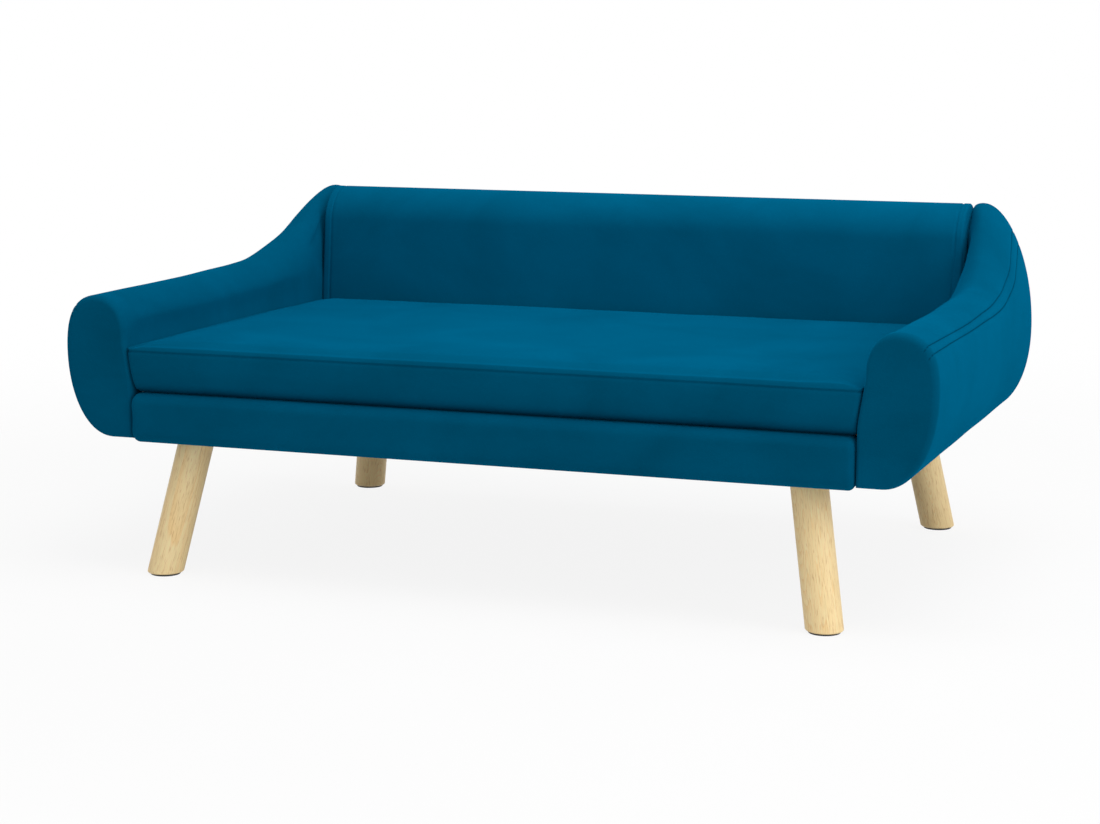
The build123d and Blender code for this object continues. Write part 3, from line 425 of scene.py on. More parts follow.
def tube(faces, base, rings, size):
    """Adds the faces of a tube with flat ends through closed rings of points, numbered from base on."""
    last = base + (rings - 1) * size
    for low in range(base, last, size):
        band(faces, low, low + size, size)
    faces += [tuple(range(end, end + size)) for end in (base, last)]


def skin(rings):
    """Points and faces of a tube through closed rings of equal length, with its ends filled."""
    size = len(rings[0])
    points = [p for ring in rings for p in ring]
    faces = []
    last = len(points) - size
    for low in range(0, last, size):
        band(faces, low, low + size, size)
    for start, ring in ((0, rings[0]), (last, rings[-1])):
        middle = sum((Vector(p) / size for p in ring), Vector((0, 0, 0)))
        for level in (0.75, 0.5, 0.25):
            base = len(points)
            points += [tuple(middle.lerp(Vector(p), level)) for p in ring]
            band(faces, start, base, size)
            start = base
        points.append(tuple(middle))
        faces += [(start + k, start + (k + 1) % size, len(points) - 1) for k in range(size)]
    return points, faces


# One stitch: share of its length, share of its radius, and rise as a share of the radius
stitch_profile = ((0.0, 0.35, -0.5), (0.16, 0.85, 0.1), (0.5, 1.0, 0.35), (0.84, 0.85, 0.1), (1.0, 0.35, -0.5))
stitch_length, stitch_gap, stitch_radius, stitch_lift, stitch_sides = 3.4, 1.3, 0.42, 0.05, 6


def stitches(name, path, normals, body):
    """A row of sewn stitches, each a small tapered thread, along a path of points."""
    points, faces = [], []
    travelled = [0.0]
    for p, q in zip(path, path[1:]):
        travelled.append(travelled[-1] + (Vector(q) - Vector(p)).length)

    def at(distance):
        k = 0
        while k < len(path) - 2 and travelled[k + 1] < distance:
            k += 1
        share = (distance - travelled[k]) / max(travelled[k + 1] - travelled[k], 1e-9)
        place = Vector(path[k]).lerp(Vector(path[k + 1]), share)
        return place, Vector(normals[k]).lerp(Vector(normals[k + 1]), share).normalized()

    start = 0.0
    while start + stitch_length < travelled[-1]:
        base = len(points)
        for along, thick, rise in stitch_profile:
            place, up = at(start + along * stitch_length)
            ahead, _ = at(start + min(along + 0.1, 1.0) * stitch_length)
            behind, _ = at(start + max(along - 0.1, 0.0) * stitch_length)
            across = (ahead - behind).normalized().cross(up).normalized()
            centre = place + up * (stitch_lift + rise * stitch_radius)
            for k in range(stitch_sides):
                a = 2 * math.pi * k / stitch_sides
                points.append(tuple(centre + (across * math.cos(a) + up * math.sin(a)) * stitch_radius * thick))
        tube(faces, base, len(stitch_profile), stitch_sides)
        start += stitch_length + stitch_gap
    return make_piece(name, points, faces, thread_material, body)


# Sizes shared with the frame
front_y, rear_y = -296.2, 303.8
back_height, arm_height, seat_top = 402.0, 316.2, 260.8
arm_inner, flare_start, flare_end = 416.0, 212.0, 276.0
flare_ends, flare_change, upper_flare = (9.6, 2.6), (20.0, 205.0), 0.5
front_flare, front_change = 8.0, (-282.0, -262.0)
deck_top, base_bottom = 207.4, 153.4


def inner_line(y, z, inset=0.0):
    """X and Z on the leaning upper part of the right arm's inner side."""
    share = (z - flare_end) / (back_height - flare_end)
    reach = lerp(front_flare, lerp(*flare_ends, ease(y, *flare_change)), ease(y, *front_change))
    return arm_inner + reach + upper_flare * share + inset, z


def flare_points(y, inset=0.0):
    """Control points of the curve by which the right arm's inner side starts to lean out."""
    third = (flare_end - flare_start) / 3
    return (
        (arm_inner + inset, flare_start),
        (arm_inner + inset, flare_start + third),
        inner_line(y, flare_end - third, inset),
        inner_line(y, flare_end, inset),
    )


def inner_x(y, z):
    """X of the right arm's inner side at a place along it and a height."""
    if z <= flare_start:
        return arm_inner
    if z >= flare_end:
        return inner_line(y, z)[0]
    return curve_point(*flare_points(y), (z - flare_start) / (flare_end - flare_start))[0]


# Arms: share of the depth, rise of the crest from the front to the back's height, and taper of the section
arm_rows = (
    (0.0, 0.0, 0.0), (0.17, 0.0, 0.0), (0.36, 0.0, 0.0), (0.49, 0.02, 0.0),
    (0.6, 0.036, 0.0), (0.69, 0.08, 0.0), (0.785, 0.25, 0.18), (0.855, 0.44, 0.38),
    (0.92, 0.74, 0.68), (0.965, 0.92, 0.88), (1.0, 1.0, 1.0),
)
arm_front_radius, arm_rear_radius = 8.0, 30.0
# How far the end roundings draw in the inner side, the outer side, the top and the bottom
front_end_shares = (0.6, 1.0, 1.0, 0.6)
rear_end_shares = (0.1, 1.5, 1.0, 1.0)
crest_x_ends, crest_share_ends = (458.0, 430.0), (0.68, 0.5)
# Inner rounding: share of the taper, its height below the crest, and shares of its two handles
circle_share = 0.5523  # the handles of a quarter circle
round_rows = (
    (0.0, 31.0, 0.42, 0.4), (0.18, 46.0, 0.5, 0.5), (0.38, 60.0, 0.7, 0.55), (0.68, 46.0, 0.62, 0.56),
    (0.88, 19.0, circle_share, circle_share), (1.0, 6.0, circle_share, circle_share),
)
front_round = (40.0, circle_share, circle_share)
belly_foot_share = 0.57
arm_half, rear_narrowing = 500.0, 7.5
arm_bottom, belly_start, belly_height = 155.0, 443.0, 255.0
# Two topstitched seams: share of the body's depth, and drops of the upper and lower seam below the crest
seam_rows = (
    (0.0, 12.0, 20.2), (0.2, 13.3, 20.7), (0.4, 14.1, 21.9), (0.6, 14.1, 23.9), (0.68, 13.2, 25.0),
    (0.74, 15.7, 28.2), (0.81, 19.1, 33.0), (0.89, 26.3, 41.0), (0.93, 30.0, 45.5), (1.0, 33.0, 49.0),
)
seam_width, seam_depth = 2.2, (0.9, 0.55)
seam_offsets = (-2.2, -1.3, -0.6, 0.0, 0.6, 1.3, 2.2)
# Hollow of the inner side where the crest bends up in front of the backrest
pocket_y, pocket_z, pocket_reach_y, pocket_reach_z = 212.0, 330.0, 34.0, 52.0
pocket_depths, pocket_floor = {"left": 2.5, "right": 9.0}, 426.4
# Steps along each part of the section's ring and along the arm
steps_above, steps_between, steps_below = 9, 3, 13
flare_steps, wall_steps, crest_steps, belly_steps = 8, 8, 20, 22
front_steps, arm_steps, rear_steps = 9, 92, 12
foot_shares, under_arm_shares = (0, 0.06, 0.3, 0.6), (0, 0.3, 0.65, 0.94)


def outer_places(curve, depth_share):
    """Values along the outer curve, closer together round both seams, and each one's seam depth."""
    crest_z = curve(0.0)[1]
    places = []
    last = 0.0
    drops = smooth_table(seam_rows, depth_share)
    for drop, count, depth in zip(drops, (steps_above, steps_between), seam_depth):
        low, high = 0.0, 1.0
        for _ in range(24):
            middle = (low + high) / 2
            low, high = (middle, high) if crest_z - curve(middle)[1] < drop else (low, middle)
        seam, reach = low, math.dist(curve(low + 0.01), curve(low - 0.01)) / 0.02
        start = seam + seam_offsets[0] / reach
        places += [(lerp(last, start, k / count), 0.0, False) for k in range(count)]
        for offset in seam_offsets[:-1]:
            places.append((seam + offset / reach, groove(offset, seam_width, depth), offset == 0.0))
        last = seam + seam_offsets[-1] / reach
    places += [(lerp(last, 1.0, k / steps_below), 0.0, False) for k in range(steps_below)]
    return places


def arm_ring(y, depth_share, drawn=(0.0, 0.0, 0.0, 0.0)):
    """Closed ring round the right arm at y, with its outer curve's first index and places."""
    rise, taper = smooth_table(arm_rows, depth_share)
    inner, outer, top, bottom = drawn
    crest_z = lerp(arm_height, back_height, rise) - top
    crest = (lerp(*crest_x_ends, taper), crest_z)
    belly_x = arm_half - rear_narrowing * depth_share - outer
    belly = (belly_x, belly_height)
    behind = ease(y, *front_change)
    body_round = smooth_table(round_rows, taper)
    fall, wall_share, top_share = between(front_round, body_round, behind)
    fall = min(fall - inner, crest_z - flare_end - 0.5)
    crest_share = lerp(*crest_share_ends, taper)
    foot_z = arm_bottom + bottom
    lower = flare_points(y, inner)
    upper, upper_corner = inner_line(y, crest_z - fall, inner), inner_line(y, crest_z, inner)
    ring = [(arm_inner + inner, lerp(foot_z, flare_start, t)) for t in foot_shares]
    ring += [curve_point(*lower, t / flare_steps) for t in range(flare_steps)]
    ring += line(lower[-1], upper, wall_steps)
    handles = between(upper, upper_corner, wall_share), between(crest, upper_corner, top_share)
    ring += [curve_point(upper, *handles, crest, t / crest_steps) for t in range(crest_steps)]
    crest_start = len(ring)

    def outer_curve(t):
        return corner_curve(crest, (belly_x, crest_z), belly, crest_share, t)

    places = outer_places(outer_curve, depth_share)
    ring += [outer_curve(t) for t, _, _ in places]
    foot_corner, foot = (belly_x, foot_z), (belly_start, foot_z)
    ring += [
        corner_curve(belly, foot_corner, foot, belly_foot_share, t / belly_steps) for t in range(belly_steps)
    ]
    ring += [(lerp(belly_start, arm_inner + inner, t), foot_z) for t in under_arm_shares]
    return [(x, y, z) for x, z in ring], crest_start, places


def arm_rings():
    """Rings of the whole right arm from front to rear, with both ends rounded."""
    body_front, body_rear = front_y + arm_front_radius, rear_y - arm_rear_radius
    rings = []
    for along, closed in rounding(arm_front_radius, front_steps)[:-1]:
        rings.append(arm_ring(front_y + along, 0.0, [closed * s for s in front_end_shares]))
    for k in range(arm_steps + 1):
        rings.append(arm_ring(lerp(body_front, body_rear, k / arm_steps), k / arm_steps))
    for closed, along in rounding(arm_rear_radius, rear_steps)[1:]:
        rings.append(arm_ring(rear_y - along, 1.0, [closed * s for s in rear_end_shares]))
    return rings


def build_arm(side, sign):
    """One arm's upholstery with its two sewn seams."""
    shaped, paths = [], []
    for ring, crest_start, places in arm_rings():
        row, sewn = [], []
        for k, p in enumerate(ring):
            before, after = Vector(ring[k - 1]), Vector(ring[(k + 1) % len(ring)])
            outward = (after - before).normalized().cross(Vector((0, 1, 0)))
            step = k - crest_start
            _, depth, on_seam = places[step] if 0 <= step < len(places) else (0.0, 0.0, False)
            wave = noise.noise(Vector(p) * 0.011 + Vector((sign * 7.0, 0, 0))) * 0.5
            place = Vector(p) + outward * (wave - depth)
            if k < crest_start:
                place.x = max(place.x, inner_x(place.y, place.z))
                away_y, away_z = (place.y - pocket_y) / pocket_reach_y, (place.z - pocket_z) / pocket_reach_z
                hollow = ease(1 - away_y**2 - away_z**2, 0.0, 1.0)
                place.x = max(place.x, min(place.x + pocket_depths[side] * hollow, pocket_floor))
            row.append((sign * place.x, place.y, place.z))
            if on_seam:
                sewn.append((row[-1], (sign * outward.x, outward.y, outward.z)))
        shaped.append(row)
        paths.append(sewn)
    points, faces = skin(shaped)
    arm = make_piece("arm_upholstery_" + side, points, faces, velvet_material, "base")
    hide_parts("arm_cover_" + side, "arm_foam_" + side)
    for number in range(len(seam_depth)):
        # The seams stop short of the closed ends
        path, normals = zip(*[sewn[number] for sewn in paths[2:-3]])
        stitches(f"arm_topstitch_{side}_{number}", path, normals, "base")


for side, sign in (("left", -1), ("right", 1)):
    build_arm(side, sign)


# Backrest
back_seat_y, back_lean = front_y + 500.0, math.radians(6.5)
back_front_radius, back_rear_radius = 46.0, 22.0
back_toe_radius, back_end_radius, back_end_gap = 36.0, 3.0, 0.6
front_centre_z, rear_centre_z = back_height - back_front_radius, back_height - back_rear_radius
back_seam_inset, back_seam_width, back_seam_depth = 10.0, 2.2, 0.9
back_seam_offsets = (-2.2, -1.4, -0.7, 0.0, 0.7, 1.4, 2.2)


def back_line(z, depth=0.0):
    """Y of the leaning front at a height, or of a line at some depth behind it."""
    return back_seat_y + (z - seat_top) * math.tan(back_lean) + depth / math.cos(back_lean)


back_crown_y = back_line(front_centre_z, back_front_radius)
back_rear = back_crown_y + back_rear_radius


def back_profile(inset):
    """Closed side outline of the backrest, drawn in by inset."""
    front_radius, rear_radius = back_front_radius - inset, back_rear_radius - inset
    toe_radius = back_toe_radius - inset
    bottom = deck_top + inset
    leaning, upright = math.pi - back_lean, math.pi / 2
    reach = toe_radius / math.tan((upright - back_lean) / 2)
    toe_centre = (back_line(bottom, inset) + reach, bottom + toe_radius)
    toe = arc(toe_centre, toe_radius, 1.5 * math.pi, leaning, 14)
    crown_front = arc((back_crown_y, front_centre_z), front_radius, leaning, upright, 18)
    crown_rear = arc((back_crown_y, rear_centre_z), rear_radius, upright, 0.0, 10)
    rear_foot = (back_crown_y + rear_radius, bottom)
    outline = toe + line(toe[-1], crown_front[0], 24)[1:] + crown_front + crown_rear[1:]
    outline += line((rear_foot[0], rear_centre_z), rear_foot, 16)[1:]
    return outline + line(rear_foot, (toe_centre[0], bottom), 8)


def build_back():
    """The backrest's upholstery with a sewn seam beside each arm and slight waves in its velvet."""
    # Each row: distance in from the end, and how far the outline is drawn in there
    rows = rounding(back_end_radius, 6) + [(5.0, 0.0), (7.5, 0.0)]
    rows += [(back_seam_inset + d, groove(d, back_seam_width, back_seam_depth)) for d in back_seam_offsets]
    rows += [(d, 0.0) for d in (14.0, 20.0, 30.0, 45.0, 65.0, 90.0)]
    middle_rows = 34
    outline = back_profile(0.0)

    def ring_at(sign, inward, drawn):
        pairs = zip(outline, back_profile(drawn))
        return [(sign * (inner_x(y, z) - back_end_gap - inward), yd, zd) for (y, z), (yd, zd) in pairs]

    rings = [ring_at(-1, *row) for row in rows]
    middle = [[(lerp(x, -x, k / middle_rows), y, z) for x, y, z in rings[-1]] for k in range(1, middle_rows)]
    rings += middle + [ring_at(1, *row) for row in reversed(rows)]
    shaped = []
    for ring in rings:
        row = []
        for x, y, z in ring:
            # No waves near the seams and on the flat rear
            calm = min(max((400.0 - abs(x)) / 60.0, 0.0), 1.0) if y < back_rear - 5 else 0.0
            row.append((x, y + ripple(x * 0.008, y * 0.02, z * 0.013) * 0.8 * calm, z))
        shaped.append(row)
    points, faces = skin(shaped)
    # The backrest wears the velvet copy with painted light
    back = make_piece("backrest_upholstery", points, faces, back_velvet_painted_lighter, "base")
    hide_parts("back_cover", "back_foam", "back_rear_lining")


build_back()


# Seat cushion
cushion_bottom, cushion_rear, cushion_gap = 207.7, front_y + 491.0, 0.4
soft_front = front_y - 5.0
foot_radius, top_radius, corner_radius = 12.0, 4.5, 6.0
cushion_seam_drop, cushion_seam_width, cushion_seam_depth = 6.0, 2.0, 0.8
crown_height, crown_reach = 3.6, 60.0
side_fall, side_fall_reach = 4.5, 26.0
# Hump of the top at the front right: height, X, distance from the front, and reach along X and Y
hump_height, hump_x, hump_in, hump_reach_x, hump_reach_y = 2.4, 388.0, 40.0, 20.0, 55.0
# Slot in the cushion's rear for the zip
slot_bottom, slot_top, slot_half = 223.0, 237.0, 305.0
zip_half, zip_floor, chain_bottom, chain_top = 300.0, cushion_rear - 1.5, 227.5, 232.5
# Shares by which the rings close towards the middle of the underside and of the top
under_shares = (0.3, 0.6, 0.85, 0.95)
top_shares = (0.985, 0.96, 0.92, 0.86, 0.78, 0.68, 0.56, 0.42, 0.28, 0.14)
corner_steps, long_steps, deep_steps = 8, 60, 34


def inflate(points, faces, shrink, reach, voxel=6.0, pressure=4.0, frames=20):
    """Points after a cloth simulation has blown up their slightly shrunken form from inside."""
    mesh = new_mesh("inflate", points, faces)
    mesh.update()
    inner = [Vector(p) - v.normal * shrink for p, v in zip(points, mesh.vertices)]
    for v, p in zip(mesh.vertices, inner):
        v.co = p * MM
    skin_object = new_object("inflate", mesh)
    remesh = skin_object.modifiers.new("remesh", "REMESH")
    remesh.mode = "VOXEL"
    remesh.voxel_size = voxel * MM
    graph = bpy.context.evaluated_depsgraph_get()
    even = bpy.data.meshes.new_from_object(skin_object.evaluated_get(graph))
    bpy.data.objects.remove(skin_object)
    bpy.data.meshes.remove(mesh)
    rest = [v.co / MM for v in even.vertices]
    balloon = new_object("balloon", even)
    cloth = balloon.modifiers.new("cloth", "CLOTH")
    cloth.settings.use_pressure = True
    cloth.settings.uniform_pressure_force = pressure
    cloth.settings.effector_weights.gravity = 0.0
    for step in range(1, frames + 1):
        scene.frame_set(step)
    graph = bpy.context.evaluated_depsgraph_get()
    blown = balloon.evaluated_get(graph).to_mesh()
    moves = [v.co / MM - r for v, r in zip(blown.vertices, rest)]
    scene.frame_set(1)
    bpy.data.objects.remove(balloon)
    bpy.data.meshes.remove(even)
    tree = kdtree.KDTree(len(rest))
    for k, r in enumerate(rest):
        tree.insert(r, k)
    tree.balance()
    result = []
    for p in inner:
        total, move = 0.0, Vector()
        for _, k, distance in tree.find_n(p, 10):
            weight = 1 / (distance + 1.0)
            total += weight
            move += moves[k] * weight
        move /= total
        result.append(tuple(p + move * (reach / (reach + move.length))))
    return result


def cushion_ring(z, drawn):
    """Ring round the cushion at a height, its sides bulging a little at mid height."""
    middle = 2 * (z - cushion_bottom) / (seat_top - cushion_bottom) - 1
    half = arm_inner - cushion_gap - 0.6 * middle**2 - drawn * 0.35
    front = soft_front + 2.0 * middle**2 + 4.0 * max(-middle, 0.0) ** 1.5 + drawn
    rear = cushion_rear - drawn
    r = max(corner_radius - drawn, 2.0)
    corners = ((half - r, front + r), (half - r, rear - r), (-half + r, rear - r), (-half + r, front + r))
    quarter = math.pi / 2
    arcs = [arc(c, r, quarter * (k - 1), quarter * k, corner_steps) for k, c in enumerate(corners)]
    ring = []
    for k, steps in enumerate((long_steps, deep_steps) * 2):
        ring += line(arcs[k - 1][-1], arcs[k][0], steps) + arcs[k][:-1]
    return [(x, y, z) for x, y in ring]


def cushion_top(x, y, z, blown_z):
    """Height of the top: its crown, hump and nap, the fall beside the arms, and a little of the swelling."""
    to_arm = arm_inner - abs(x)
    to_edge = min(min(y - soft_front, cushion_rear - y, to_arm) / crown_reach, 1.0)
    crown = crown_height * (1 - (1 - max(to_edge, 0.0)) ** 2.2)
    hump_y = soft_front + hump_in
    hump = hump_height * math.exp(-(((x - hump_x) / hump_reach_x) ** 2) - ((y - hump_y) / hump_reach_y) ** 2)
    nap = ripple(x * 0.009, y * 0.009, 1.7) * 0.9
    fall = side_fall * max(1 - to_arm / side_fall_reach, 0.0) ** 2
    return seat_top + crown + hump + nap - fall + min(max(blown_z - z, -1.0), 1.5)


def build_cushion():
    """Boxed cushion: crowned top, slightly bulging sides and a welted seam below the top edge."""
    # Each level: height, how far the ring is drawn in there, and the seam's depth
    levels = [(cushion_bottom + up, drawn, 0.0) for up, drawn in rounding(foot_radius, 6)]
    slot_levels = (slot_bottom - 0.4, slot_bottom, 228.0, 232.0, slot_top, slot_top + 0.4)
    levels += [(z, 0.0, 0.0) for z in (*slot_levels, 241.0, 245.5, 249.5)]
    seam_z = seat_top - cushion_seam_drop
    for d in (-2.0, -1.2, -0.6, 0.0, 0.6, 1.2):
        levels.append((seam_z + d, 0.0, groove(d, cushion_seam_width, cushion_seam_depth)))
    levels += [(seat_top - down, drawn, 0.0) for drawn, down in rounding(top_radius, 6)]
    rings = [cushion_ring(z, drawn) for z, drawn, _ in levels]
    centre_y = (soft_front + cushion_rear) / 2

    def closing(ring, shares):
        return [[(x * s, lerp(centre_y, y, s), z) for x, y, z in ring] for s in shares]

    rings = closing(rings[0], under_shares) + rings + closing(rings[-1], top_shares)
    seam_depths = [0.0] * len(under_shares) + [seam for _, _, seam in levels] + [0.0] * len(top_shares)
    points, faces = skin(rings)
    size = len(rings[0])
    shaped = []
    for index, ((x, y, z), (bx, by, bz)) in enumerate(zip(points, inflate(points, faces, 2.0, 6.0))):
        # The foam inside and the arms, deck and backrest round it hold the swelling back
        bz = cushion_bottom if z < cushion_bottom + 0.5 else max(bz, cushion_bottom)
        if z > seat_top - 1:
            bz = cushion_top(x, y, z, bz)
        if y < soft_front + 8:
            by = max(by, soft_front - 2.0) + ripple(x * 0.012, 3.1, z * 0.03) * 0.7
        by = min(by, cushion_rear)
        if slot_bottom - 0.1 < z < slot_top + 0.1 and abs(x) < slot_half and y > cushion_rear - 1:
            by, bz = zip_floor, z
        # The ends lie against the arms' flaring sides
        limit = inner_x(by, bz) - cushion_gap
        bx = x * limit / (arm_inner - cushion_gap) if abs(x) > arm_inner - 40 else bx
        bx = math.copysign(min(abs(bx), limit), bx)
        depth = seam_depths[index // size] if index < size * len(seam_depths) else 0.0
        if depth:
            by += depth if y < soft_front + 20 else 0.0
            bx -= math.copysign(depth, bx) if abs(x) > arm_inner - 20 else 0.0
        shaped.append((bx, by, bz))
    cushion = make_piece("seat_cushion_upholstery", shaped, faces, velvet_material, "seat_cushion")
    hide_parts("cushion_cover", "cushion_foam")


build_cushion()

tape_proud, tape_ribs, tape_steps, tape_edge, tape_seam = 0.62, 9, 150, 0.15, 1.4
tooth_pitch, tooth_thick, tooth_sides, tooth_overlap = 1.5, 0.34, 8, 1.3


def build_zip():
    """Woven tapes with a sewn line each, and the coil's two rows of interlocking teeth."""
    points, faces = [], []
    for low, high in ((slot_bottom + tape_edge, chain_bottom), (chain_top, slot_top - tape_edge)):
        base = len(points)
        for x in spread(-zip_half, zip_half, tape_steps):
            pucker = 0.08 * ripple(x * 0.2, low, 3.0)
            for k, z in enumerate(spread(low, high, tape_ribs)):
                raised = 0.1 if k % 2 else -0.02
                points.append((x, zip_floor + tape_proud + raised + pucker, z))
            points += [(x, zip_floor + 0.05, high), (x, zip_floor + 0.05, low)]
        tube(faces, base, tape_steps + 1, tape_ribs + 3)
    tapes = make_piece("zip_tapes_woven", points, faces, tape_material, "seat_cushion", False)
    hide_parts("zip_tapes")
    for name, z in (("lower", slot_bottom + tape_seam), ("upper", slot_top - tape_seam)):
        path = [(x, zip_floor + tape_proud + 0.1, z) for x in spread(-zip_half + 2, zip_half - 2, 60)]
        stitches("zip_stitches_" + name, path, [(0, 1, 0)] * 61, "seat_cushion")
    points, faces = [], []
    chain_middle = (chain_bottom + chain_top) / 2
    lower = (0.25, chain_bottom + 0.1, chain_middle + tooth_overlap)
    upper = (0.75, chain_middle - tooth_overlap, chain_top - 0.1)
    for n in range(int(2 * (zip_half - 1) / tooth_pitch)):
        for shift, low, high in (lower, upper):
            x = -zip_half + 1 + (n + shift) * tooth_pitch
            base = len(points)
            for along, proud, wide in ((0.0, 0.72, 0.8), (0.3, 1.0, 1.0), (0.75, 1.0, 1.15), (1.0, 0.8, 0.8)):
                z = lerp(low, high, along)
                for k in range(tooth_sides):
                    a = 2 * math.pi * (k + 0.5) / tooth_sides
                    out = zip_floor + 1.1 + proud * math.sin(a)
                    points.append((x + tooth_thick * wide * math.cos(a), out, z))
            tube(faces, base, 4, tooth_sides)
    coil = make_piece("zip_coil_teeth", points, faces, coil_material, "seat_cushion")
    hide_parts("zip_chain")


build_zip()

# Front rail
rail_half, rail_lip_y, rail_edge_radius, rail_end_radius = 415.0, -273.2, 12.0, 7.0
rail_centre_y, rail_end_reach, rail_steps = -286.0, 25.0, 60


def build_front_rail():
    """The front rail's upholstery with rounded edges and ends."""
    foot, head = base_bottom - 1.8, deck_top - 0.4
    edge, flat_y = rounding(rail_edge_radius, 8), soft_front + rail_edge_radius
    outline = [(soft_front + out, foot + up) for up, out in edge]
    outline += line((soft_front, foot + rail_edge_radius), (soft_front, head - rail_edge_radius), 8)[1:]
    outline += [(soft_front + out, head - down) for out, down in edge]
    outline += line((flat_y, head), (rail_lip_y, head), 3)[1:]
    outline += line((rail_lip_y, head), (rail_lip_y, base_bottom), 6)
    outline += line((rail_lip_y, base_bottom), (flat_y, foot), 3)
    centre_z = (foot + head) / 2
    # Each row: distance in from the end, and how far the outline is drawn in there
    rows = rounding(rail_end_radius, 8) + [(9.0, 0.0), (14.0, 0.0), (rail_end_reach, 0.0)]
    inner_half = rail_half - rail_end_reach
    places = [(-rail_half + inward, drawn) for inward, drawn in rows]
    places += [(x, 0.0) for x in spread(-inner_half, inner_half, rail_steps)[1:-1]]
    places += [(rail_half - inward, drawn) for inward, drawn in reversed(rows)]
    rings = []
    for x, drawn in places:
        ring = []
        for y, z in outline:
            away = Vector((y - rail_centre_y, z - centre_z))
            share = 1 - drawn / max(away.length, 1e-6)
            push = ripple(x * 0.013, 9.0, z * 0.03) * 0.6 if y < soft_front + 4 else 0.0
            ring.append((x, rail_centre_y + away.x * share + max(push, -0.3), centre_z + away.y * share))
        rings.append(ring)
    points, faces = skin(rings)
    # The front rail wears the velvet copy with painted shade
    rail = make_piece("front_rail_upholstery", points, faces, front_velvet_painted_darker, "base")
    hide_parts("front_rail_cover", "front_rail_foam")


build_front_rail()

# Rear rail's velvet and the dust cover below, both held by staples
cloth_half, rail_foot = 415.0, 157.9
rear_face, rear_inside = back_rear, back_rear - 1.5
flange_front = rear_inside - 20.0
bolt_xs, bolt_y, bolt_room = (110.0, 300.0), rear_inside - 12.0, 11.0
plate_x, plate_ys, plate_room = 356.63, (-251.78, 241.03), 31.0
staple_length, staple_width, staple_height = 10.0, 1.3, 0.7
velvet_drop, velvet_fold = 1.5, 4.0
cover_front, cover_rear, cover_sag, cover_rim = -259.2, flange_front - 1.0, 3.2, 6.0


def staples(name, places, z):
    """Flat steel staples under the frame: each place gives x, y and whether it lies along Y."""
    points, faces = [], []
    profile = ((-0.5, 0.0), (-0.46, 0.7), (-0.36, 1.0), (0.36, 1.0), (0.46, 0.7), (0.5, 0.0))
    section = ((-0.5, 0.0), (-0.34, 1.0), (0.34, 1.0), (0.5, 0.0))
    for x, y, turned in places:
        base = len(points)
        for along, drop in profile:
            for side, rise in section:
                a, b = along * staple_length, side * staple_width
                px, py = (b, a) if turned else (a, b)
                points.append((x + px, y + py, z + 0.15 - staple_height * drop * rise))
        tube(faces, base, len(profile), len(section))
    return make_piece(name, points, faces, zinc_material, "base")


def build_rear_velvet():
    """Velvet over the rear rail, turned under it, cut out round the leg plates and the bolts."""

    def front_edge(x):
        edge = flange_front + ripple(x * 0.03, 4.0, 0.0) * 0.8
        if abs(abs(x) - plate_x) < plate_room:
            edge = max(edge, plate_ys[1] + plate_room)
        for bolt in bolt_xs:
            reach = bolt_room**2 - (abs(x) - bolt) ** 2
            if reach > 0:
                edge = max(edge, bolt_y + math.sqrt(reach))
        return edge

    xs = set(spread(-cloth_half, cloth_half, 90))
    for sign in (-1, 1):
        for edge in (plate_x - plate_room, plate_x + plate_room):
            xs.update((sign * edge - 0.05, sign * edge + 0.05))
        for bolt in bolt_xs:
            xs.update(sign * bolt + bolt_room * math.sin(math.radians(12.0 * k)) for k in range(-7, 8))
    foot, cover_z = rail_foot - velvet_drop, rail_foot - 0.05
    rings = []
    for x in sorted(xs):
        swell = ripple(x * 0.012, 6.0, 2.0) * 0.5 + 0.3
        edge = front_edge(x)
        heights = enumerate(spread(deck_top, foot + velvet_fold, 6))
        ring = [(x, rear_face + swell * math.sin(math.pi * k / 6), z) for k, z in heights]
        ring += [(x, rear_face - back, foot + up) for back, up in rounding(velvet_fold, 4)[1:]]
        ring += [(x, y, foot) for y in spread(rear_face - velvet_fold, edge, 3)[1:]]
        ring += [(x, edge, cover_z), (x, rear_inside, cover_z), (x, rear_inside, deck_top)]
        rings.append(ring)
    points, faces = skin(rings)
    cloth = make_piece("rear_rail_velvet", points, faces, velvet_material, "base")
    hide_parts("rear_rail_cover")
    places = []
    for x in spread(-400.0, 400.0, 15):
        rooms = [abs(abs(x) - plate_x) - plate_room, *(abs(abs(x) - bolt) - bolt_room for bolt in bolt_xs)]
        if min(rooms) > 7:
            places.append((x, flange_front + 5.0, False))
    pins = staples("rear_velvet_staples", places, foot)


def cover_height(x, y):
    """Height of the dust cover: stapled hem, sag, and creases that fade towards its edges and notches."""
    rim = min(x + cloth_half, cloth_half - x, y - cover_front, cover_rear - y)
    for notch in plate_ys:
        outside = max(abs(abs(x) - plate_x) - plate_room, abs(y - notch) - plate_room)
        rim = min(rim, max(outside, 0.0))
    sag = cover_sag * ease(rim, 14.0, 150.0)
    crease = ripple(x * 0.021, y * 0.021, 5.0) * 0.9 * ease(rim, 10.0, 40.0)
    hem = 0.5 * (1 - ease(rim, 13.0, 15.0))
    return rail_foot - 0.8 - sag - abs(crease) - hem


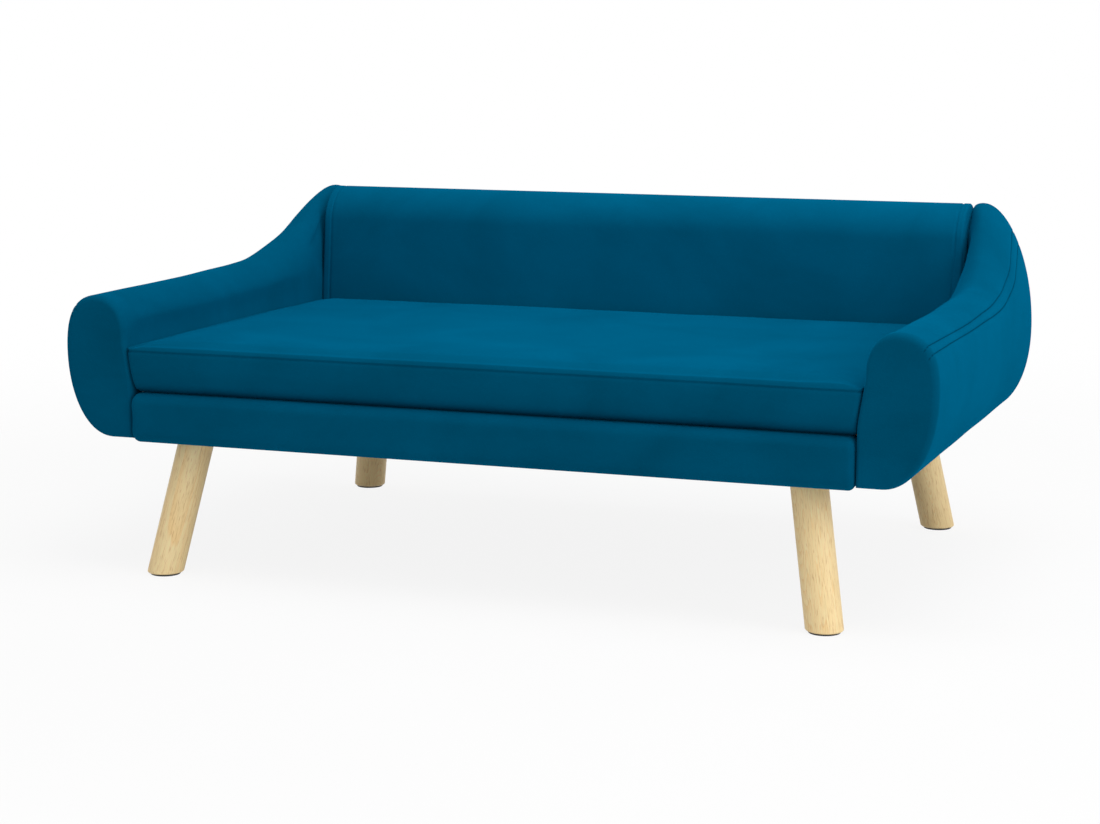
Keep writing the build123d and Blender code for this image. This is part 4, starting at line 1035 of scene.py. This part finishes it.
def build_dust_cover():
    """Black cloth under the frame with a turned edge, a slight sag and staples all round."""
    xs, ys = set(spread(-cloth_half, cloth_half, 64)), set(spread(cover_front, cover_rear, 40))
    for sign in (-1, 1):
        xs.update((sign * (plate_x - plate_room), sign * (plate_x + plate_room)))
    for notch in plate_ys:
        ys.update(y for y in (notch - plate_room, notch + plate_room) if cover_front < y < cover_rear)
    xs, ys = sorted(xs), sorted(ys)

    def open_at(x, y):
        return abs(abs(x) - plate_x) < plate_room and any(abs(y - notch) < plate_room for notch in plate_ys)

    points = [(x, y, cover_height(x, y)) for y in ys for x in xs]
    layer = len(points)
    points += [(x, y, min(z + 0.8, rail_foot - 0.05)) for x, y, z in points]
    solid = {
        (i, j)
        for i in range(len(xs) - 1)
        for j in range(len(ys) - 1)
        if not open_at((xs[i] + xs[i + 1]) / 2, (ys[j] + ys[j + 1]) / 2)
    }
    faces = []
    for i, j in sorted(solid):
        low = [b * len(xs) + a for a, b in ((i, j), (i, j + 1), (i + 1, j + 1), (i + 1, j))]
        high = [k + layer for k in low]
        faces += [tuple(low), (high[0], *high[:0:-1])]
        beside = ((i - 1, j), (i, j + 1), (i + 1, j), (i, j - 1))
        for k in (3, 2, 1, 0):
            if beside[k] not in solid:
                after = (k + 1) % 4
                faces.append((low[after], low[k], high[k], high[after]))
    used = sorted({v for face in faces for v in face})
    place = {v: k for k, v in enumerate(used)}
    points = [points[v] for v in used]
    faces = [tuple(place[v] for v in face) for face in faces]
    cloth = make_piece("dust_cover_cloth", points, faces, felt_material, "base")
    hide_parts("dust_cover")
    places = []
    for x in spread(-cloth_half + 12.0, cloth_half - 12.0, 15):
        places += [(x, y, False) for y in (cover_front + cover_rim, cover_rear - cover_rim)]
    for y in spread(cover_front, cover_rear, 10)[1:-1]:
        places += [(x, y, True) for x in (-cloth_half + cover_rim, cloth_half - cover_rim)]

    def beside_plate(x, y):
        near_y = min(abs(y - notch) for notch in plate_ys) < plate_room + 3
        return near_y and abs(abs(x) - plate_x) < plate_room + 8

    places = [place for place in places if not beside_plate(*place[:2])]
    pins = staples("dust_cover_staples", places, rail_foot - 1.3)


build_rear_velvet()
build_dust_cover()

# Floor, lights and world
floor_reach = 12000.0
# Metres from the middle where the fade to the background starts and ends, and the share of white there
floor_fade, floor_white = (0.7, 2.4), (0.88, 0.12)
white = (1.0, 1.0, 1.0)


def build_floor():
    """Pale floor that fades into the white background round the sofa and keeps its shadows."""
    corners = ((-1, -1), (1, -1), (1, 1), (-1, 1))
    mesh = new_mesh("floor", [(floor_reach * x, floor_reach * y, 0) for x, y in corners], [(0, 1, 2, 3)])
    m = new_material("pale_floor")
    m.finish(m.greys(m.noise(3.0, 3.0), (0.3, 0.8), (0.7, 0.84)), 0.9)
    distance = m.add("ShaderNodeVectorMath", {0: m.place}, operation="LENGTH").outputs["Value"]
    edges = {"Value": distance, "From Min": floor_fade[0], "From Max": floor_fade[1]}
    fade = m.add("ShaderNodeMapRange", edges, interpolation_type="SMOOTHSTEP").outputs["Result"]
    least, more = floor_white
    share = m.math("MULTIPLY", m.math("ADD", m.math("MULTIPLY", fade, more), least), m.seen())
    glow = m.add("ShaderNodeEmission", {"Color": white, "Strength": 1.0}).outputs["Emission"]
    lit = m.blend(share, m.shader.outputs["BSDF"], glow)
    m.surface(m.blend(fade, lit, m.add("ShaderNodeBsdfTransparent").outputs["BSDF"]))
    mesh.materials.append(m.owner)
    floor = new_object("floor", mesh)


build_floor()


def lamp(name, place, size, power, target=(0, 0, 0.22)):
    """Rectangular lamp with its place in metres, turned to the sofa."""
    data = bpy.data.lights.new(name, "AREA")
    data.shape = "RECTANGLE"
    data.size, data.size_y = size
    data.energy = power
    light = new_object(name, data)
    light.location = place
    light.rotation_euler = (Vector(target) - Vector(place)).to_track_quat("-Z", "Y").to_euler()


lamp("top_softbox", (0.5, -0.3, 2.6), (2.4, 2.0), 44.0)
lamp("right_softbox", (2.6, -0.7, 1.3), (1.5, 1.4), 22.0)
lamp("front_fill", (0.6, -3.2, 1.0), (2.2, 1.4), 2.0)

# White background for the camera, and a dimmer light of its own on the sofa
scene.world = bpy.data.worlds.new("studio")
sky = Nodes(scene.world)
ambient, backdrop = (
    sky.add("ShaderNodeBackground", {"Color": white, "Strength": strength}).outputs["Background"]
    for strength in (0.42, 1.0)
)
sky.surface(sky.blend(sky.seen(), ambient, backdrop))

scene.view_settings.view_transform = "Standard"
